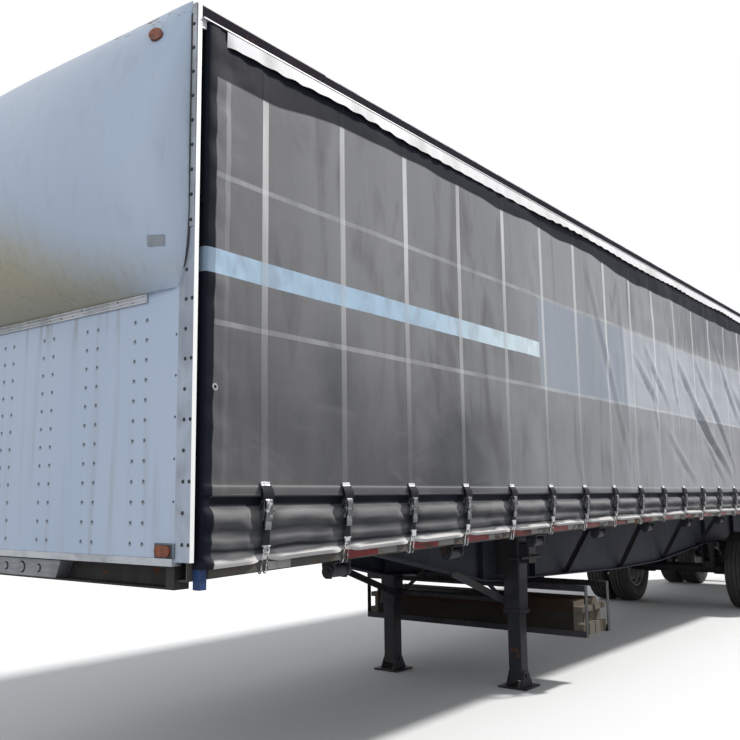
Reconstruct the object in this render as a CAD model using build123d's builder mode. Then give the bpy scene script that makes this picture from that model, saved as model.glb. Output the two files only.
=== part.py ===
from build123d import *
from math import asin, cos, sqrt
import os

os.makedirs("parts", exist_ok=True)

# Overall sizes in mm: X runs forward, Y to the left side, Z up from the ground
trailer_length = 14630.0
trailer_width = 2591.0
top_height = 3850.0
nose_depth = 400.0
half_width = trailer_width / 2

# Deck, which rises in a shallow arc between the ends
camber = 100.0
rail_low = 1200.0
rail_height = 160.0
floor_thickness = 35.0
deck_top = rail_low + rail_height
deck_under = deck_top - floor_thickness

# Standing gap between pieces that rest on each other
seat = 0.3

# Rear doors, with the hinge pins and lock rods that stand behind them
door_gap = 6.0
door_thickness = 30.0
pin_stand_off = 16.0
knuckle_r = 14.0
rear_overhang = door_gap + door_thickness + pin_stand_off + knuckle_r

# The front plane, placed so that the whole length is centred on the origin
x_front = (trailer_length + rear_overhang - nose_depth) / 2
camber_radius = ((trailer_length / 2) ** 2 + camber**2) / (2 * camber)

# Curtain side: straps, buckles, stake pockets and roof bows share this pitch
strap_first = 449.0
strap_pitch = 609.6
curtain_margin = 30.0
curtain_rear = trailer_length - curtain_margin
strap_count = int((curtain_rear - strap_first) / strap_pitch) + 1
strap_stations = [strap_first + strap_pitch * n for n in range(strap_count)]
pocket_stations = [strap_first + strap_pitch * (n + 0.5) for n in range(strap_count - 1)]


def sta(d):
    """X of a station that lies d behind the front plane."""
    return x_front - d


def rise(d):
    """Height that the camber adds at a station."""
    return sqrt(camber_radius**2 - (d - trailer_length / 2) ** 2) - camber_radius + camber


def lowest_rise(d, half_length):
    """Smallest height that the camber adds along a short piece."""
    return min(rise(d - half_length), rise(d + half_length))


def highest_rise(d, half_length):
    """Greatest height that the camber adds along a short piece."""
    return max(rise(d - half_length), rise(d + half_length))


def side_plane(y):
    """Side-view plane at a given Y, with X across and Z up."""
    return Plane.XZ.offset(-y)


def cross_plane(d, lift=0):
    """Cross-section plane at a station, with Y across and Z up from a given height."""
    return Plane(origin=(sta(d), 0, lift), x_dir=(0, 1, 0), z_dir=(1, 0, 0))


def cross_planes(stations, behind, half_length=0):
    """Cross-section planes a little behind each station, at the lowest rise of a piece this long."""
    return [cross_plane(d + behind, lowest_rise(d, half_length)) for d in stations]


def level_planes(stations, behind):
    """Cross-section planes a little behind each station, all at the ground's height."""
    return [cross_plane(d + behind) for d in stations]


def tilted_plane(d, y, z):
    """Side-view plane at a station that leans with the deck's slope."""
    lean = asin((d - trailer_length / 2) / camber_radius)
    return Plane(
        origin=(sta(d), y, z + rise(d)),
        x_dir=(cos(lean), 0, (d - trailer_length / 2) / camber_radius),
        z_dir=(0, -1, 0),
    )


def arch_band(d0, d1, low, high, y):
    """Side-view band between two heights that follows the deck's camber."""
    mid = (d0 + d1) / 2
    with BuildSketch(side_plane(y)) as band:
        with BuildLine():
            lower = ThreePointArc(*[(sta(d), low + rise(d)) for d in (d0, mid, d1)])
            upper = ThreePointArc(*[(sta(d), high + rise(d)) for d in (d0, mid, d1)])
            Line(lower @ 0, upper @ 0)
            Line(lower @ 1, upper @ 1)
        make_face()
    return band.sketch


def block(d0, d1, y0, y1, z0, z1, mode=Mode.ADD):
    """Adds a rectangular bar between two stations, two Y values and two heights."""
    with Locations((sta((d0 + d1) / 2), (y0 + y1) / 2, (z0 + z1) / 2)):
        Box(abs(d1 - d0), abs(y1 - y0), abs(z1 - z0), mode=mode)


def rod(start, end, radius, mode=Mode.ADD):
    """Adds a round bar between two points."""
    reach = Vector(*end) - Vector(*start)
    with BuildSketch(Plane(origin=start, z_dir=reach)) as section:
        Circle(radius)
    extrude(section.sketch, amount=reach.length, mode=mode)


def plate(plane, corners, thickness, mode=Mode.ADD):
    """Adds a flat plate with the given corners on both sides of a plane."""
    with BuildSketch(plane) as outline:
        with BuildLine():
            Polyline(*corners, close=True)
        make_face()
    extrude(outline.sketch, amount=thickness / 2, both=True, mode=mode)


def square_tube(d, y, size, corner, z0, z1):
    """Adds an upright square bar with rounded corners."""
    with BuildSketch(Plane.XY.offset(z0)) as section:
        with Locations((sta(d), y)):
            RectangleRounded(size, size, corner)
    extrude(section.sketch, amount=z1 - z0)


def finish(builder, name):
    """Labels a finished piece and writes its file."""
    builder.part.label = name
    export_step(builder.part, f"parts/{name}.step")


# Main beams: fish-belly sections, shallow over the coupler and deepest behind the legs
rear_post = 90.0
bolster_front = 12.0
bolster_depth = 85.0
beam_y = 490.0
beam_web = 8.0
beam_flange_width = 125.0
beam_flange = 12.0
beam_bend_r = 1200.0
beam_start = bolster_front + bolster_depth + seat
beam_end = trailer_length - rear_post - seat
neck_low = rail_low - 25.0
beam_lower_line = [
    # station, height of the lower flange's underside
    (beam_start, neck_low),
    (2300.0, neck_low),
    (3850.0, 860.0),
    (6600.0, 772.0),
    (7900.0, 772.0),
    (9700.0, 890.0),
    (beam_end, 890.0),
]
web_face = beam_y + beam_web / 2
flange_edge = beam_y + beam_flange_width / 2


def beam_low_at(d):
    """Height of the beam's underside at a station."""
    for (d0, z0), (d1, z1) in zip(beam_lower_line, beam_lower_line[1:]):
        if d <= d1:
            return z0 + (z1 - z0) * (d - d0) / (d1 - d0)
    return beam_lower_line[-1][1]


def beam_profile(y, lift):
    """Side view of the web, or of the lower flange when a lift is given."""
    mid = (beam_start + beam_end) / 2
    with BuildSketch(side_plane(y)) as profile:
        with BuildLine():
            lower = FilletPolyline(*[(sta(d), z) for d, z in beam_lower_line], radius=beam_bend_r)
            if lift:
                upper = FilletPolyline(*[(sta(d), z + lift) for d, z in beam_lower_line], radius=beam_bend_r)
            else:
                upper = ThreePointArc(*[(sta(d), deck_under + rise(d)) for d in (beam_start, mid, beam_end)])
            Line(lower @ 0, upper @ 0)
            Line(lower @ 1, upper @ 1)
        make_face()
    return profile.sketch


# Cross members: joists between the beams, and outriggers to the side rails
joist_first = 380.8
joist_pitch = 457.2
joist_depth = 100.0
joist_width = 55.0
joist_wall = 6.0
joist_count = int((beam_end - joist_width - joist_first) / joist_pitch) + 1
joist_stations = [joist_first + joist_pitch * n for n in range(joist_count)]
joist_z = deck_under - beam_flange - seat - joist_depth / 2
joist_low = joist_z - joist_depth / 2
rail_web_y = half_width - 50.0
rail_wall = 6.0
outrigger_length = rail_web_y - rail_wall - web_face

# Stiffeners stand midway between two joists, counted from the front
stiffener_bays = [4, 7, 9, 20, 23, 27, 29]
stiffener_thickness = 8.0

with BuildPart() as main_beams:
    for side in (-1, 1):
        y = side * beam_y
        extrude(beam_profile(y, 0), amount=beam_web / 2, both=True)
        extrude(beam_profile(y, beam_flange), amount=beam_flange_width / 2, both=True)
        top = arch_band(beam_start, beam_end, deck_under - beam_flange, deck_under, y)
        extrude(top, amount=beam_flange_width / 2, both=True)
        for bay in [n for n in stiffener_bays if n < joist_count - 1]:
            d = joist_first + joist_pitch * (bay + 0.5)
            block(
                d - stiffener_thickness / 2,
                d + stiffener_thickness / 2,
                y - beam_flange_width / 2 + stiffener_thickness,
                y + beam_flange_width / 2 - stiffener_thickness,
                beam_low_at(d) + beam_flange / 2,
                deck_under + rise(d) - beam_flange / 2,
            )
finish(main_beams, "main_beams")


def joist_section(planes):
    """I section of the joists on each of the given planes."""
    with BuildSketch(*planes) as section:
        Rectangle(joist_wall, joist_depth)
        with Locations((0, (joist_depth - joist_wall) / 2), (0, -(joist_depth - joist_wall) / 2)):
            Rectangle(joist_width, joist_wall)
    return section.sketch


with BuildPart() as cross_members:
    middle_planes = [tilted_plane(d, web_face - beam_web, joist_z) for d in joist_stations]
    extrude(joist_section(middle_planes), amount=2 * (web_face - beam_web))
finish(cross_members, "cross_members")

with BuildPart() as outriggers:
    left_planes = [tilted_plane(d, rail_web_y - rail_wall, joist_z) for d in joist_stations]
    right_planes = [tilted_plane(d, -web_face, joist_z) for d in joist_stations]
    extrude(joist_section(left_planes + right_planes), amount=outrigger_length)
finish(outriggers, "outriggers")

# Angle-iron braces from the beam's lower flange up to every third outrigger
brace_first_joist = 11
brace_every = 3
brace_leg = 50.0
brace_wall = 6.0
brace_head_y = 780.0
brace_stations = [d for d in joist_stations[brace_first_joist::brace_every] if d < beam_lower_line[5][0]]

with BuildPart() as beam_braces:
    for side in (-1, 1):
        for d in brace_stations:
            foot_z = max(beam_low_at(d - brace_leg / 2), beam_low_at(d + brace_leg / 2)) + beam_flange + 2 * seat
            head_z = joist_low + lowest_rise(d, brace_leg / 2) - 2 * seat
            foot_y = web_face + seat
            for thickness, inward in ((brace_leg, brace_wall), (brace_wall, brace_leg)):
                plate(
                    cross_plane(d),
                    [
                        (side * foot_y, foot_z),
                        (side * (foot_y + inward), foot_z),
                        (side * (brace_head_y + inward), head_z),
                        (side * brace_head_y, head_z),
                    ],
                    thickness,
                )
finish(beam_braces, "beam_braces")

# Side rails: channel, hollow stake pockets, spools and the flat rub rail outside them
rail_foot = 60.0
rail_lip = 45.0
rub_thickness = 10.0
rub_height = 76.0
rub_lift = 11.0
rub_low = rail_low + rub_lift
rub_face_y = half_width
rub_inner_y = rub_face_y - rub_thickness
pocket_width = 90.0
pocket_wall = 6.0
pocket_margin = 25.0
spool_r = 17.0
pole_size = 44.0
pole_front = 62.0
wall_thickness = 30.0
rail_front = wall_thickness + seat
rail_rear = trailer_length - rear_post - seat
rub_front = pole_front + pole_size + 4.0


def side_rail(side):
    """Channel, pockets, spools and rub rail of one side."""
    with BuildPart() as rail:
        web_band = arch_band(rail_front, rail_rear, rail_low, deck_top, side * rail_web_y)
        extrude(web_band, amount=side * rail_wall)
        foot = arch_band(rail_front, rail_rear, rail_low, rail_low + rail_wall, side * rail_web_y)
        extrude(foot, amount=side * rail_foot)
        lip = arch_band(rail_front, rail_rear, deck_top - rail_wall, deck_top, side * rail_web_y)
        extrude(lip, amount=side * rail_lip)
        rub = arch_band(rub_front, rail_rear, rub_low, rub_low + rub_height, side * rub_face_y)
        extrude(rub, amount=side * rub_thickness)
        pocket_low = rub_low + pocket_wall / 2
        pocket_high = deck_top - pocket_margin
        with BuildSketch(*cross_planes(pocket_stations, pocket_width / 2)) as pocket:
            with Locations((side * (rail_web_y + rub_inner_y) / 2, (pocket_low + pocket_high) / 2)):
                Rectangle(rub_inner_y - rail_web_y, pocket_high - pocket_low)
        extrude(pocket.sketch, amount=pocket_width)
        pocket_inner = pocket_width / 2 - pocket_wall
        with BuildSketch(*cross_planes(pocket_stations, pocket_inner)) as pocket_hole:
            with Locations((side * (rail_web_y + rub_inner_y - pocket_wall) / 2, (pocket_low + pocket_high) / 2)):
                Rectangle(rub_inner_y - pocket_wall - rail_web_y, pocket_high - pocket_low + 2 * pocket_wall)
        extrude(pocket_hole.sketch, amount=2 * pocket_inner, mode=Mode.SUBTRACT)
        with BuildSketch(side_plane(side * rail_web_y)) as spools:
            with Locations(*[(sta(d), rub_low + rub_height / 2 + rise(d)) for d in strap_stations if d < rail_rear - spool_r]):
                Circle(spool_r)
        extrude(spools.sketch, amount=-side * (rub_inner_y - rail_web_y))
    return rail


side_rail_left = side_rail(1)
side_rail_right = side_rail(-1)
finish(side_rail_left, "side_rail_left")
finish(side_rail_right, "side_rail_right")

# Deck floor between the rails' lips, with a groove between its boards
board_width = 190.0
groove = 6.0
floor_front = wall_thickness + seat
floor_rear = trailer_length - rear_post - seat
floor_half_width = rail_web_y - rail_lip - seat
with BuildPart() as deck_floor:
    floor_band = arch_band(floor_front, floor_rear, deck_under, deck_top, 0)
    extrude(floor_band, amount=floor_half_width, both=True)
    for n in range(-int(floor_half_width / board_width), int(floor_half_width / board_width) + 1):
        slot = arch_band(floor_front, floor_rear, deck_top - groove, deck_top + groove, n * board_width)
        extrude(slot, amount=groove / 2, both=True, mode=Mode.SUBTRACT)
finish(deck_floor, "deck_floor")

# Coupler plate with its channels, and the kingpin that hangs through it
coupler_thickness = 12.0
coupler_low = neck_low - coupler_thickness
coupler_rear = 2150.0
coupler_half_width = 600.0
kingpin_station = 914.0
kingpin_neck_r = 25.4
kingpin_head_r = 35.7
kingpin_flange_r = 80.0
kingpin_flange = 14.0
kingpin_shoulder_length = 13.0
kingpin_neck_length = 36.0
kingpin_head_length = 35.0
kingpin_clearance = 0.5
coupler_channel_y = 240.0
coupler_channel_width = 60.0
coupler_channel_wall = 6.0
coupler_channel_height = joist_low - neck_low

with BuildPart() as coupler_plate:
    plate_front = beam_start
    block(plate_front, coupler_rear, -coupler_half_width, coupler_half_width, coupler_low, neck_low)
    for y in (-coupler_channel_y, coupler_channel_y):
        channel_top = neck_low + coupler_channel_height
        block(plate_front, coupler_rear, y - coupler_channel_width / 2, y + coupler_channel_width / 2, neck_low, channel_top)
        inner = coupler_channel_width / 2 - coupler_channel_wall
        block(
            plate_front,
            coupler_rear,
            y - inner,
            y + inner,
            neck_low,
            channel_top - coupler_channel_wall,
            mode=Mode.SUBTRACT,
        )
    rod(
        (sta(kingpin_station), 0, coupler_low),
        (sta(kingpin_station), 0, neck_low),
        kingpin_head_r + kingpin_clearance,
        mode=Mode.SUBTRACT,
    )
finish(coupler_plate, "coupler_plate")

with BuildPart() as kingpin:
    kingpin_steps = [
        # radius, upper end and lower end measured down from the coupler's face
        (kingpin_flange_r, -coupler_thickness - kingpin_flange, -coupler_thickness),
        (kingpin_head_r, -coupler_thickness, kingpin_shoulder_length),
        (kingpin_neck_r, kingpin_shoulder_length, kingpin_shoulder_length + kingpin_neck_length),
        (
            kingpin_head_r,
            kingpin_shoulder_length + kingpin_neck_length,
            kingpin_shoulder_length + kingpin_neck_length + kingpin_head_length,
        ),
    ]
    for radius, upper, lower in kingpin_steps:
        rod((sta(kingpin_station), 0, coupler_low - lower), (sta(kingpin_station), 0, coupler_low - upper), radius)
finish(kingpin, "kingpin")

# Front bolster: a deep channel, open forwards, with a stake at each end
bolster_low = coupler_low + 2.0
bar_low = 1267.0
bolster_high = bar_low - seat
bolster_wall = 8.0
post_width = 98.0
stake_width = 55.0
bolster_half_width = rail_web_y - rail_foot - seat
bolster_rear = bolster_front + bolster_depth
with BuildPart() as front_bolster:
    with BuildSketch(side_plane(bolster_half_width)) as bolster_section:
        with BuildLine():
            Polyline(
                (sta(bolster_front), bolster_low),
                (sta(bolster_rear), bolster_low),
                (sta(bolster_rear), bolster_high),
                (sta(bolster_front), bolster_high),
                (sta(bolster_front), bolster_high - bolster_wall),
                (sta(bolster_rear - bolster_wall), bolster_high - bolster_wall),
                (sta(bolster_rear - bolster_wall), bolster_low + bolster_wall),
                (sta(bolster_front), bolster_low + bolster_wall),
                close=True,
            )
        make_face()
    extrude(amount=2 * bolster_half_width)
    for side in (-1, 1):
        block(
            bolster_front,
            bolster_rear,
            side * bolster_half_width,
            side * (bolster_half_width - stake_width),
            bolster_low,
            bolster_high,
        )
finish(front_bolster, "front_bolster")

# Front wall: a skin on upright hat posts, inside a frame
wall_low = 1300.0
skin = 3.0
wall_frame = 45.0
wall_high = top_height - 4.0
wall_half_width = half_width - post_width - seat
wall_post_pitch = 373.6
wall_post_width = 62.0
wall_post_wall = 4.0
wall_post_count = 2 * int(wall_half_width / wall_post_pitch)
wall_post_rows = [wall_post_pitch * (n - (wall_post_count - 1) / 2) for n in range(wall_post_count)]

with BuildPart() as front_wall:
    block(0, skin, -wall_half_width, wall_half_width, wall_low, wall_high)
    for z0, z1 in ((wall_low, wall_low + wall_frame), (wall_high - wall_frame, wall_high)):
        block(skin, wall_thickness, -wall_half_width, wall_half_width, z0, z1)
    for side in (-1, 1):
        block(
            skin,
            wall_thickness,
            side * wall_half_width,
            side * (wall_half_width - wall_frame),
            wall_low,
            wall_high,
        )
    for y in wall_post_rows:
        half = wall_post_width / 2
        block(skin, wall_thickness, y - half, y + half, wall_low, wall_high)
        block(
            skin,
            wall_thickness - wall_post_wall,
            y - half + wall_post_wall,
            y + half - wall_post_wall,
            wall_low + wall_frame,
            wall_high - wall_frame,
            mode=Mode.SUBTRACT,
        )
finish(front_wall, "front_wall")

# Corner posts: aluminium angles with a wide front leaf and a short side leaf
post_wall = 4.0
post_return = 24.0
post_low = bar_low + 18.0
with BuildPart() as corner_posts:
    for side in (-1, 1):
        with BuildSketch(Plane.XY.offset(post_low)) as post_section:
            with BuildLine():
                Polyline(
                    (sta(0), side * (half_width - post_width)),
                    (sta(0), side * half_width),
                    (sta(post_return), side * half_width),
                    (sta(post_return), side * (half_width - post_wall)),
                    (sta(post_wall), side * (half_width - post_wall)),
                    (sta(post_wall), side * (half_width - post_width)),
                    close=True,
                )
            make_face()
        extrude(amount=wall_high - post_low)
finish(corner_posts, "corner_posts")

# Nose cone: half ellipses lofted from its foot on the wall to its crown above the roof
nose_low = 2502.0
nose_high = top_height + 16.0
nose_margin = 37.0
nose_sections = [
    # share of the cone's height, share of its depth, inset from its widest place
    (0.0, 0.15, 68.0),
    (0.07, 0.55, 22.0),
    (0.19, 0.83, 0.0),
    (0.46, 1.0, 0.0),
    (0.69, 0.83, 0.0),
    (0.88, 0.5, 0.0),
    (1.0, 0.05, 0.0),
]

# Round marker lamps sunk in the cone's upper corners, level with one of its sections
nose_lamp_r = 34.0
nose_lamp_y = 1112.0
nose_lamp_share, nose_lamp_depth = nose_sections[5][0], nose_sections[5][1]
nose_lamp_z = nose_low + (nose_high - nose_low) * nose_lamp_share
nose_lamp_sink = 14.0
nose_lamp_proud = 16.0
nose_half_width = half_width - nose_margin
nose_lamp_out = nose_depth * nose_lamp_depth * sqrt(1 - (nose_lamp_y / nose_half_width) ** 2)


def nose_lamp_point(side, out):
    """A point on a lamp's axis, measured out from the cone's surface."""
    aim = Vector(0.88, side * 0.42, 0.22).normalized()
    return Vector(x_front + nose_lamp_out, side * nose_lamp_y, nose_lamp_z) + aim * out


with BuildPart() as nose_cone:
    for height_share, depth_share, inset in nose_sections:
        z = nose_low + (nose_high - nose_low) * height_share
        half = nose_half_width - inset
        with BuildSketch(Plane.XY.offset(z)) as nose_section:
            with BuildLine():
                front = EllipticalCenterArc((sta(0), 0), nose_depth * depth_share, half, start_angle=-90, arc_size=180)
                Line(front @ 0, front @ 1)
            make_face()
    loft()
    for side in (-1, 1):
        rod(
            tuple(nose_lamp_point(side, -nose_lamp_sink)),
            tuple(nose_lamp_point(side, 2 * nose_lamp_r)),
            nose_lamp_r + seat,
            mode=Mode.SUBTRACT,
        )
finish(nose_cone, "nose_cone")

# Aluminium trim: the strip under the nose, a leaf beside it, and the bar under the wall
trim_depth = 12.0
trim_height = 43.0
trim_half_width = 985.0
leaf_width = 28.0
leaf_gap = 4.0
leaf_low = nose_low + 268.0
bar_proud = 14.0
bar_depth = 40.0
with BuildPart() as front_trim:
    block(-trim_depth, 0, -trim_half_width, trim_half_width, nose_low - trim_height, nose_low - seat)
    block(-bar_proud, bar_depth, -wall_half_width, wall_half_width, bar_low, wall_low - seat)
    for side in (-1, 1):
        inner_y = nose_half_width + leaf_gap
        block(-trim_depth / 2, 0, side * inner_y, side * (inner_y + leaf_width), leaf_low, wall_high)
finish(front_trim, "front_trim")

# Connector box in the bolster, with slanted ends and sockets for two air lines and a cable
box_half_top = 340.0
box_half_foot = 300.0
box_front = bolster_front + 2.0
box_rear = bolster_rear - bolster_wall - seat
box_low = bolster_low + bolster_wall + seat
box_high = bolster_high - bolster_wall - seat
socket_rows = [
    # Y, radius of the socket
    (-150.0, 22.0),
    (0.0, 30.0),
    (150.0, 22.0),
]
socket_depth = 30.0
socket_wall = 6.0
with BuildPart() as connector_box:
    plate(
        cross_plane((box_front + box_rear) / 2),
        [
            (-box_half_foot, box_low),
            (box_half_foot, box_low),
            (box_half_top, box_high),
            (-box_half_top, box_high),
        ],
        box_rear - box_front,
    )
    for y, radius in socket_rows:
        z = (box_low + box_high) / 2
        mouth = (sta(box_front), y, z)
        rod(mouth, (sta(box_front + socket_depth), y, z), radius, mode=Mode.SUBTRACT)
        rod(mouth, (sta(box_front + socket_depth), y, z), radius / 2)
        rod((sta(box_front) + socket_wall, y, z), mouth, radius - socket_wall)
finish(connector_box, "connector_box")

# Top rails, the curtain tracks under them, roof bows and roof sheet
roof_skin = 4.0
top_rail_height = 62.0
top_rail_depth = 60.0
top_rail_wall = 4.0
top_rail_high = top_height - roof_skin
top_rail_low = top_rail_high - top_rail_height
top_rail_y = half_width - 6.0
top_rail_front = post_wall + seat
top_rail_rear = trailer_length - rear_post - seat
bow_size = 40.0
bow_wall = 4.0

with BuildPart() as top_rails:
    for side in (-1, 1):
        with BuildSketch(cross_plane(top_rail_front)) as rail_section:
            with BuildLine():
                Polyline(
                    (side * top_rail_y, top_rail_low),
                    (side * top_rail_y, top_rail_high),
                    (side * (top_rail_y - top_rail_depth), top_rail_high),
                    (side * (top_rail_y - top_rail_depth), top_rail_high - top_rail_wall),
                    (side * (top_rail_y - top_rail_wall), top_rail_high - top_rail_wall),
                    (side * (top_rail_y - top_rail_wall), top_rail_low + top_rail_wall),
                    (side * (top_rail_y - top_rail_depth), top_rail_low + top_rail_wall),
                    (side * (top_rail_y - top_rail_depth), top_rail_low),
                    close=True,
                )
            make_face()
        extrude(amount=top_rail_front - top_rail_rear)
finish(top_rails, "top_rails")

track_depth = 42.0
track_height = 40.0
track_wall = 4.0
track_slot = 12.0
track_lip = 10.0
track_lip_wall = 6.0
track_y = half_width - 8.0
track_high = top_rail_low - seat
track_low = track_high - track_lip_wall - track_height
track_front = post_return + 4.0
with BuildPart() as curtain_tracks:
    for side in (-1, 1):
        with BuildSketch(cross_plane(track_front)) as track_section:
            with Locations((side * (track_y - track_depth / 2), track_low + track_height / 2)):
                Rectangle(track_depth, track_height)
                Rectangle(track_depth - 2 * track_wall, track_height - 2 * track_wall, mode=Mode.SUBTRACT)
            with Locations((side * (track_y - track_depth / 2), track_low)):
                Rectangle(track_slot, 4 * track_wall, mode=Mode.SUBTRACT)
            lip_inner = track_y - track_depth
            lip_outer = half_width + track_lip
            with Locations((side * (lip_inner + lip_outer) / 2, track_high - track_lip_wall / 2)):
                Rectangle(lip_outer - lip_inner, track_lip_wall)
        extrude(track_section.sketch, amount=track_front - top_rail_rear)
finish(curtain_tracks, "curtain_tracks")

bow_stations = [d for d in strap_stations if d < top_rail_rear - bow_size]
with BuildPart() as roof_bows:
    bow_half = top_rail_y - top_rail_wall - seat
    with BuildSketch(side_plane(bow_half)) as bow_section:
        for d in bow_stations:
            with Locations((sta(d), top_rail_high - top_rail_wall - seat - bow_size / 2)):
                Rectangle(bow_size, bow_size)
                Rectangle(bow_size - 2 * bow_wall, bow_size - 2 * bow_wall, mode=Mode.SUBTRACT)
    extrude(amount=2 * bow_half)
finish(roof_bows, "roof_bows")

with BuildPart() as roof_sheet:
    block(0, trailer_length, -top_rail_y, top_rail_y, top_rail_high, top_height)
finish(roof_sheet, "roof_sheet")

# Side posts, whose stakes stand in pockets at the quarter points, and the curtains' front poles
side_post_outer = half_width - 12.0
side_post_depth = 50.0
side_post_width = 76.0
stake_clearance = 2.0
stake_length = 100.0
post_quarters = [pocket_stations[len(pocket_stations) * n // 4] for n in (1, 2, 3)]
with BuildPart() as side_posts:
    for side in (-1, 1):
        for d in post_quarters:
            half = side_post_width / 2
            foot = deck_top + highest_rise(d, half) + seat
            inner_y = side_post_outer - side_post_depth
            block(d - half, d + half, side * inner_y, side * side_post_outer, foot, track_low - seat)
            stake_half = pocket_width / 2 - pocket_wall - stake_clearance
            stake_outer = rub_inner_y - pocket_wall - stake_clearance
            block(
                d - stake_half,
                d + stake_half,
                side * (rail_web_y + stake_clearance),
                side * stake_outer,
                foot - stake_length,
                foot,
            )
finish(side_posts, "side_posts")

pole_low = bolster_low
with BuildPart() as curtain_poles:
    for side in (-1, 1):
        pole_y = side * (rail_web_y + seat + pole_size / 2)
        square_tube(pole_front + pole_size / 2, pole_y, pole_size, 4.0, pole_low, track_low - seat)
finish(curtain_poles, "curtain_poles")

# Rear frame: channels round the doorway, open forwards, with holes for the tail lamps
header_height = 110.0
sill_low = coupler_low + 2.0
frame_wall = 8.0
tail_lamp_y = [880.0, 1010.0, 1140.0]
tail_lamp_z = sill_low + 68.0
tail_hole_r = 50.0
with BuildPart() as rear_frame:
    post_high = top_rail_high
    opening_high = post_high - header_height
    with BuildSketch(cross_plane(trailer_length)) as portal:
        with Locations((0, (post_high + sill_low) / 2)):
            Rectangle(2 * top_rail_y, post_high - sill_low)
        with Locations((0, (opening_high + deck_top) / 2)):
            Rectangle(2 * (top_rail_y - rear_post), opening_high - deck_top, mode=Mode.SUBTRACT)
    extrude(portal.sketch, amount=rear_post)
    with BuildSketch(cross_plane(trailer_length - frame_wall)) as hollow:
        with Locations((0, (post_high + sill_low) / 2)):
            Rectangle(2 * (top_rail_y - frame_wall), post_high - sill_low - 2 * frame_wall)
        with Locations((0, (opening_high + deck_top) / 2)):
            Rectangle(
                2 * (top_rail_y - rear_post + frame_wall),
                opening_high - deck_top + 2 * frame_wall,
                mode=Mode.SUBTRACT,
            )
    extrude(hollow.sketch, amount=rear_post - frame_wall, mode=Mode.SUBTRACT)
    for side in (-1, 1):
        for y in tail_lamp_y:
            rod(
                (sta(trailer_length), side * y, tail_lamp_z),
                (sta(trailer_length - frame_wall), side * y, tail_lamp_z),
                tail_hole_r + seat,
                mode=Mode.SUBTRACT,
            )
finish(rear_frame, "rear_frame")

# Rear doors: two leaves that lie over the frame
door_low = deck_top - 60.0
door_high = top_height - 60.0
pin_y = half_width - 10.0
door_face = sta(trailer_length) - door_gap - door_thickness
pin_x = door_face - pin_stand_off
pin_r = 8.0
pin_clearance = 0.5
leaf_edge = 22.0
meeting_gap = 3.0
hinge_count = 5
hinge_margin = 150.0
hinge_pitch = (door_high - door_low - 2 * hinge_margin) / (hinge_count - 1)
hinge_heights = [door_low + hinge_margin + hinge_pitch * n for n in range(hinge_count)]
knuckle_length = 60.0
lug_thickness = 12.0
lug_gap = 1.0
door_rib = 3.0
door_rim = 70.0


def door(side):
    """One door leaf, with a shallow panel inside its rim on the outer face."""
    with BuildPart() as leaf:
        low_y = side * meeting_gap
        high_y = side * (pin_y - leaf_edge)
        front = trailer_length + door_gap
        rear = front + door_thickness
        block(front, rear, low_y, high_y, door_low, door_high)
        block(
            front - door_rib,
            front + door_rib,
            low_y + side * door_rim,
            high_y - side * door_rim,
            door_low + door_rim,
            door_high - door_rim,
            mode=Mode.SUBTRACT,
        )
    return leaf


# Door gear: hinge straps with knuckles, and a lock rod with guides, cams and a handle
strap_length = 260.0
strap_thickness = 8.0
lock_rod_r = 13.0
lock_rod_y = 330.0
lock_rod_x = pin_x - knuckle_r + lock_rod_r
guide_half = 38.0
guide_height = 50.0
cam_reach = 32.0
cam_gap = 2.0
cam_hook = 8.0
handle_z = 1560.0
handle_length = 420.0
handle_height = 26.0
handle_thickness = 10.0


def door_gear(side):
    """Hinges and lock rod that ride on one door."""
    with BuildPart() as gear:
        for z in hinge_heights:
            with BuildSketch(Plane.XY.offset(z - knuckle_length / 2)) as knuckle:
                with Locations((pin_x, side * pin_y)):
                    Circle(knuckle_r)
                with Locations((door_face - strap_thickness / 2, side * (pin_y - strap_length / 2))):
                    Rectangle(strap_thickness, strap_length)
                with Locations(((door_face - strap_thickness + pin_x) / 2, side * (pin_y - knuckle_r / 2))):
                    Rectangle(abs(door_face - strap_thickness - pin_x), knuckle_r)
                with Locations((pin_x, side * pin_y)):
                    Circle(pin_r + pin_clearance, mode=Mode.SUBTRACT)
            extrude(knuckle.sketch, amount=knuckle_length)
        rod_y = side * lock_rod_y
        rod((lock_rod_x, rod_y, door_low - cam_reach), (lock_rod_x, rod_y, door_high + cam_reach), lock_rod_r)
        guide_spots = [door_low + 60.0, handle_z - 160.0, handle_z + 200.0, door_high - 700.0, door_high - 60.0]
        for z in guide_spots:
            block(
                trailer_length + door_gap + door_thickness,
                trailer_length + door_gap + door_thickness + pin_stand_off + knuckle_r,
                rod_y - guide_half,
                rod_y + guide_half,
                z - guide_height / 2,
                z + guide_height / 2,
            )
        for low, high in ((door_low - cam_reach, door_low - cam_gap), (door_high + cam_gap, door_high + cam_reach)):
            block(
                trailer_length + door_gap + door_thickness - cam_hook,
                trailer_length + door_gap + door_thickness + pin_stand_off,
                rod_y - lock_rod_r / 2,
                rod_y + lock_rod_r / 2,
                low,
                high,
            )
        block(
            trailer_length + door_gap + door_thickness + pin_stand_off - handle_thickness / 2,
            trailer_length + door_gap + door_thickness + pin_stand_off + handle_thickness / 2,
            rod_y,
            rod_y + side * handle_length,
            handle_z - handle_height / 2,
            handle_z + handle_height / 2,
        )
        hasp_y = rod_y + side * (handle_length - 60.0)
        block(
            trailer_length + door_gap + door_thickness,
            trailer_length + door_gap + door_thickness + pin_stand_off,
            hasp_y - handle_height,
            hasp_y + handle_height,
            handle_z - handle_height,
            handle_z + handle_height,
        )
    return gear


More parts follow.
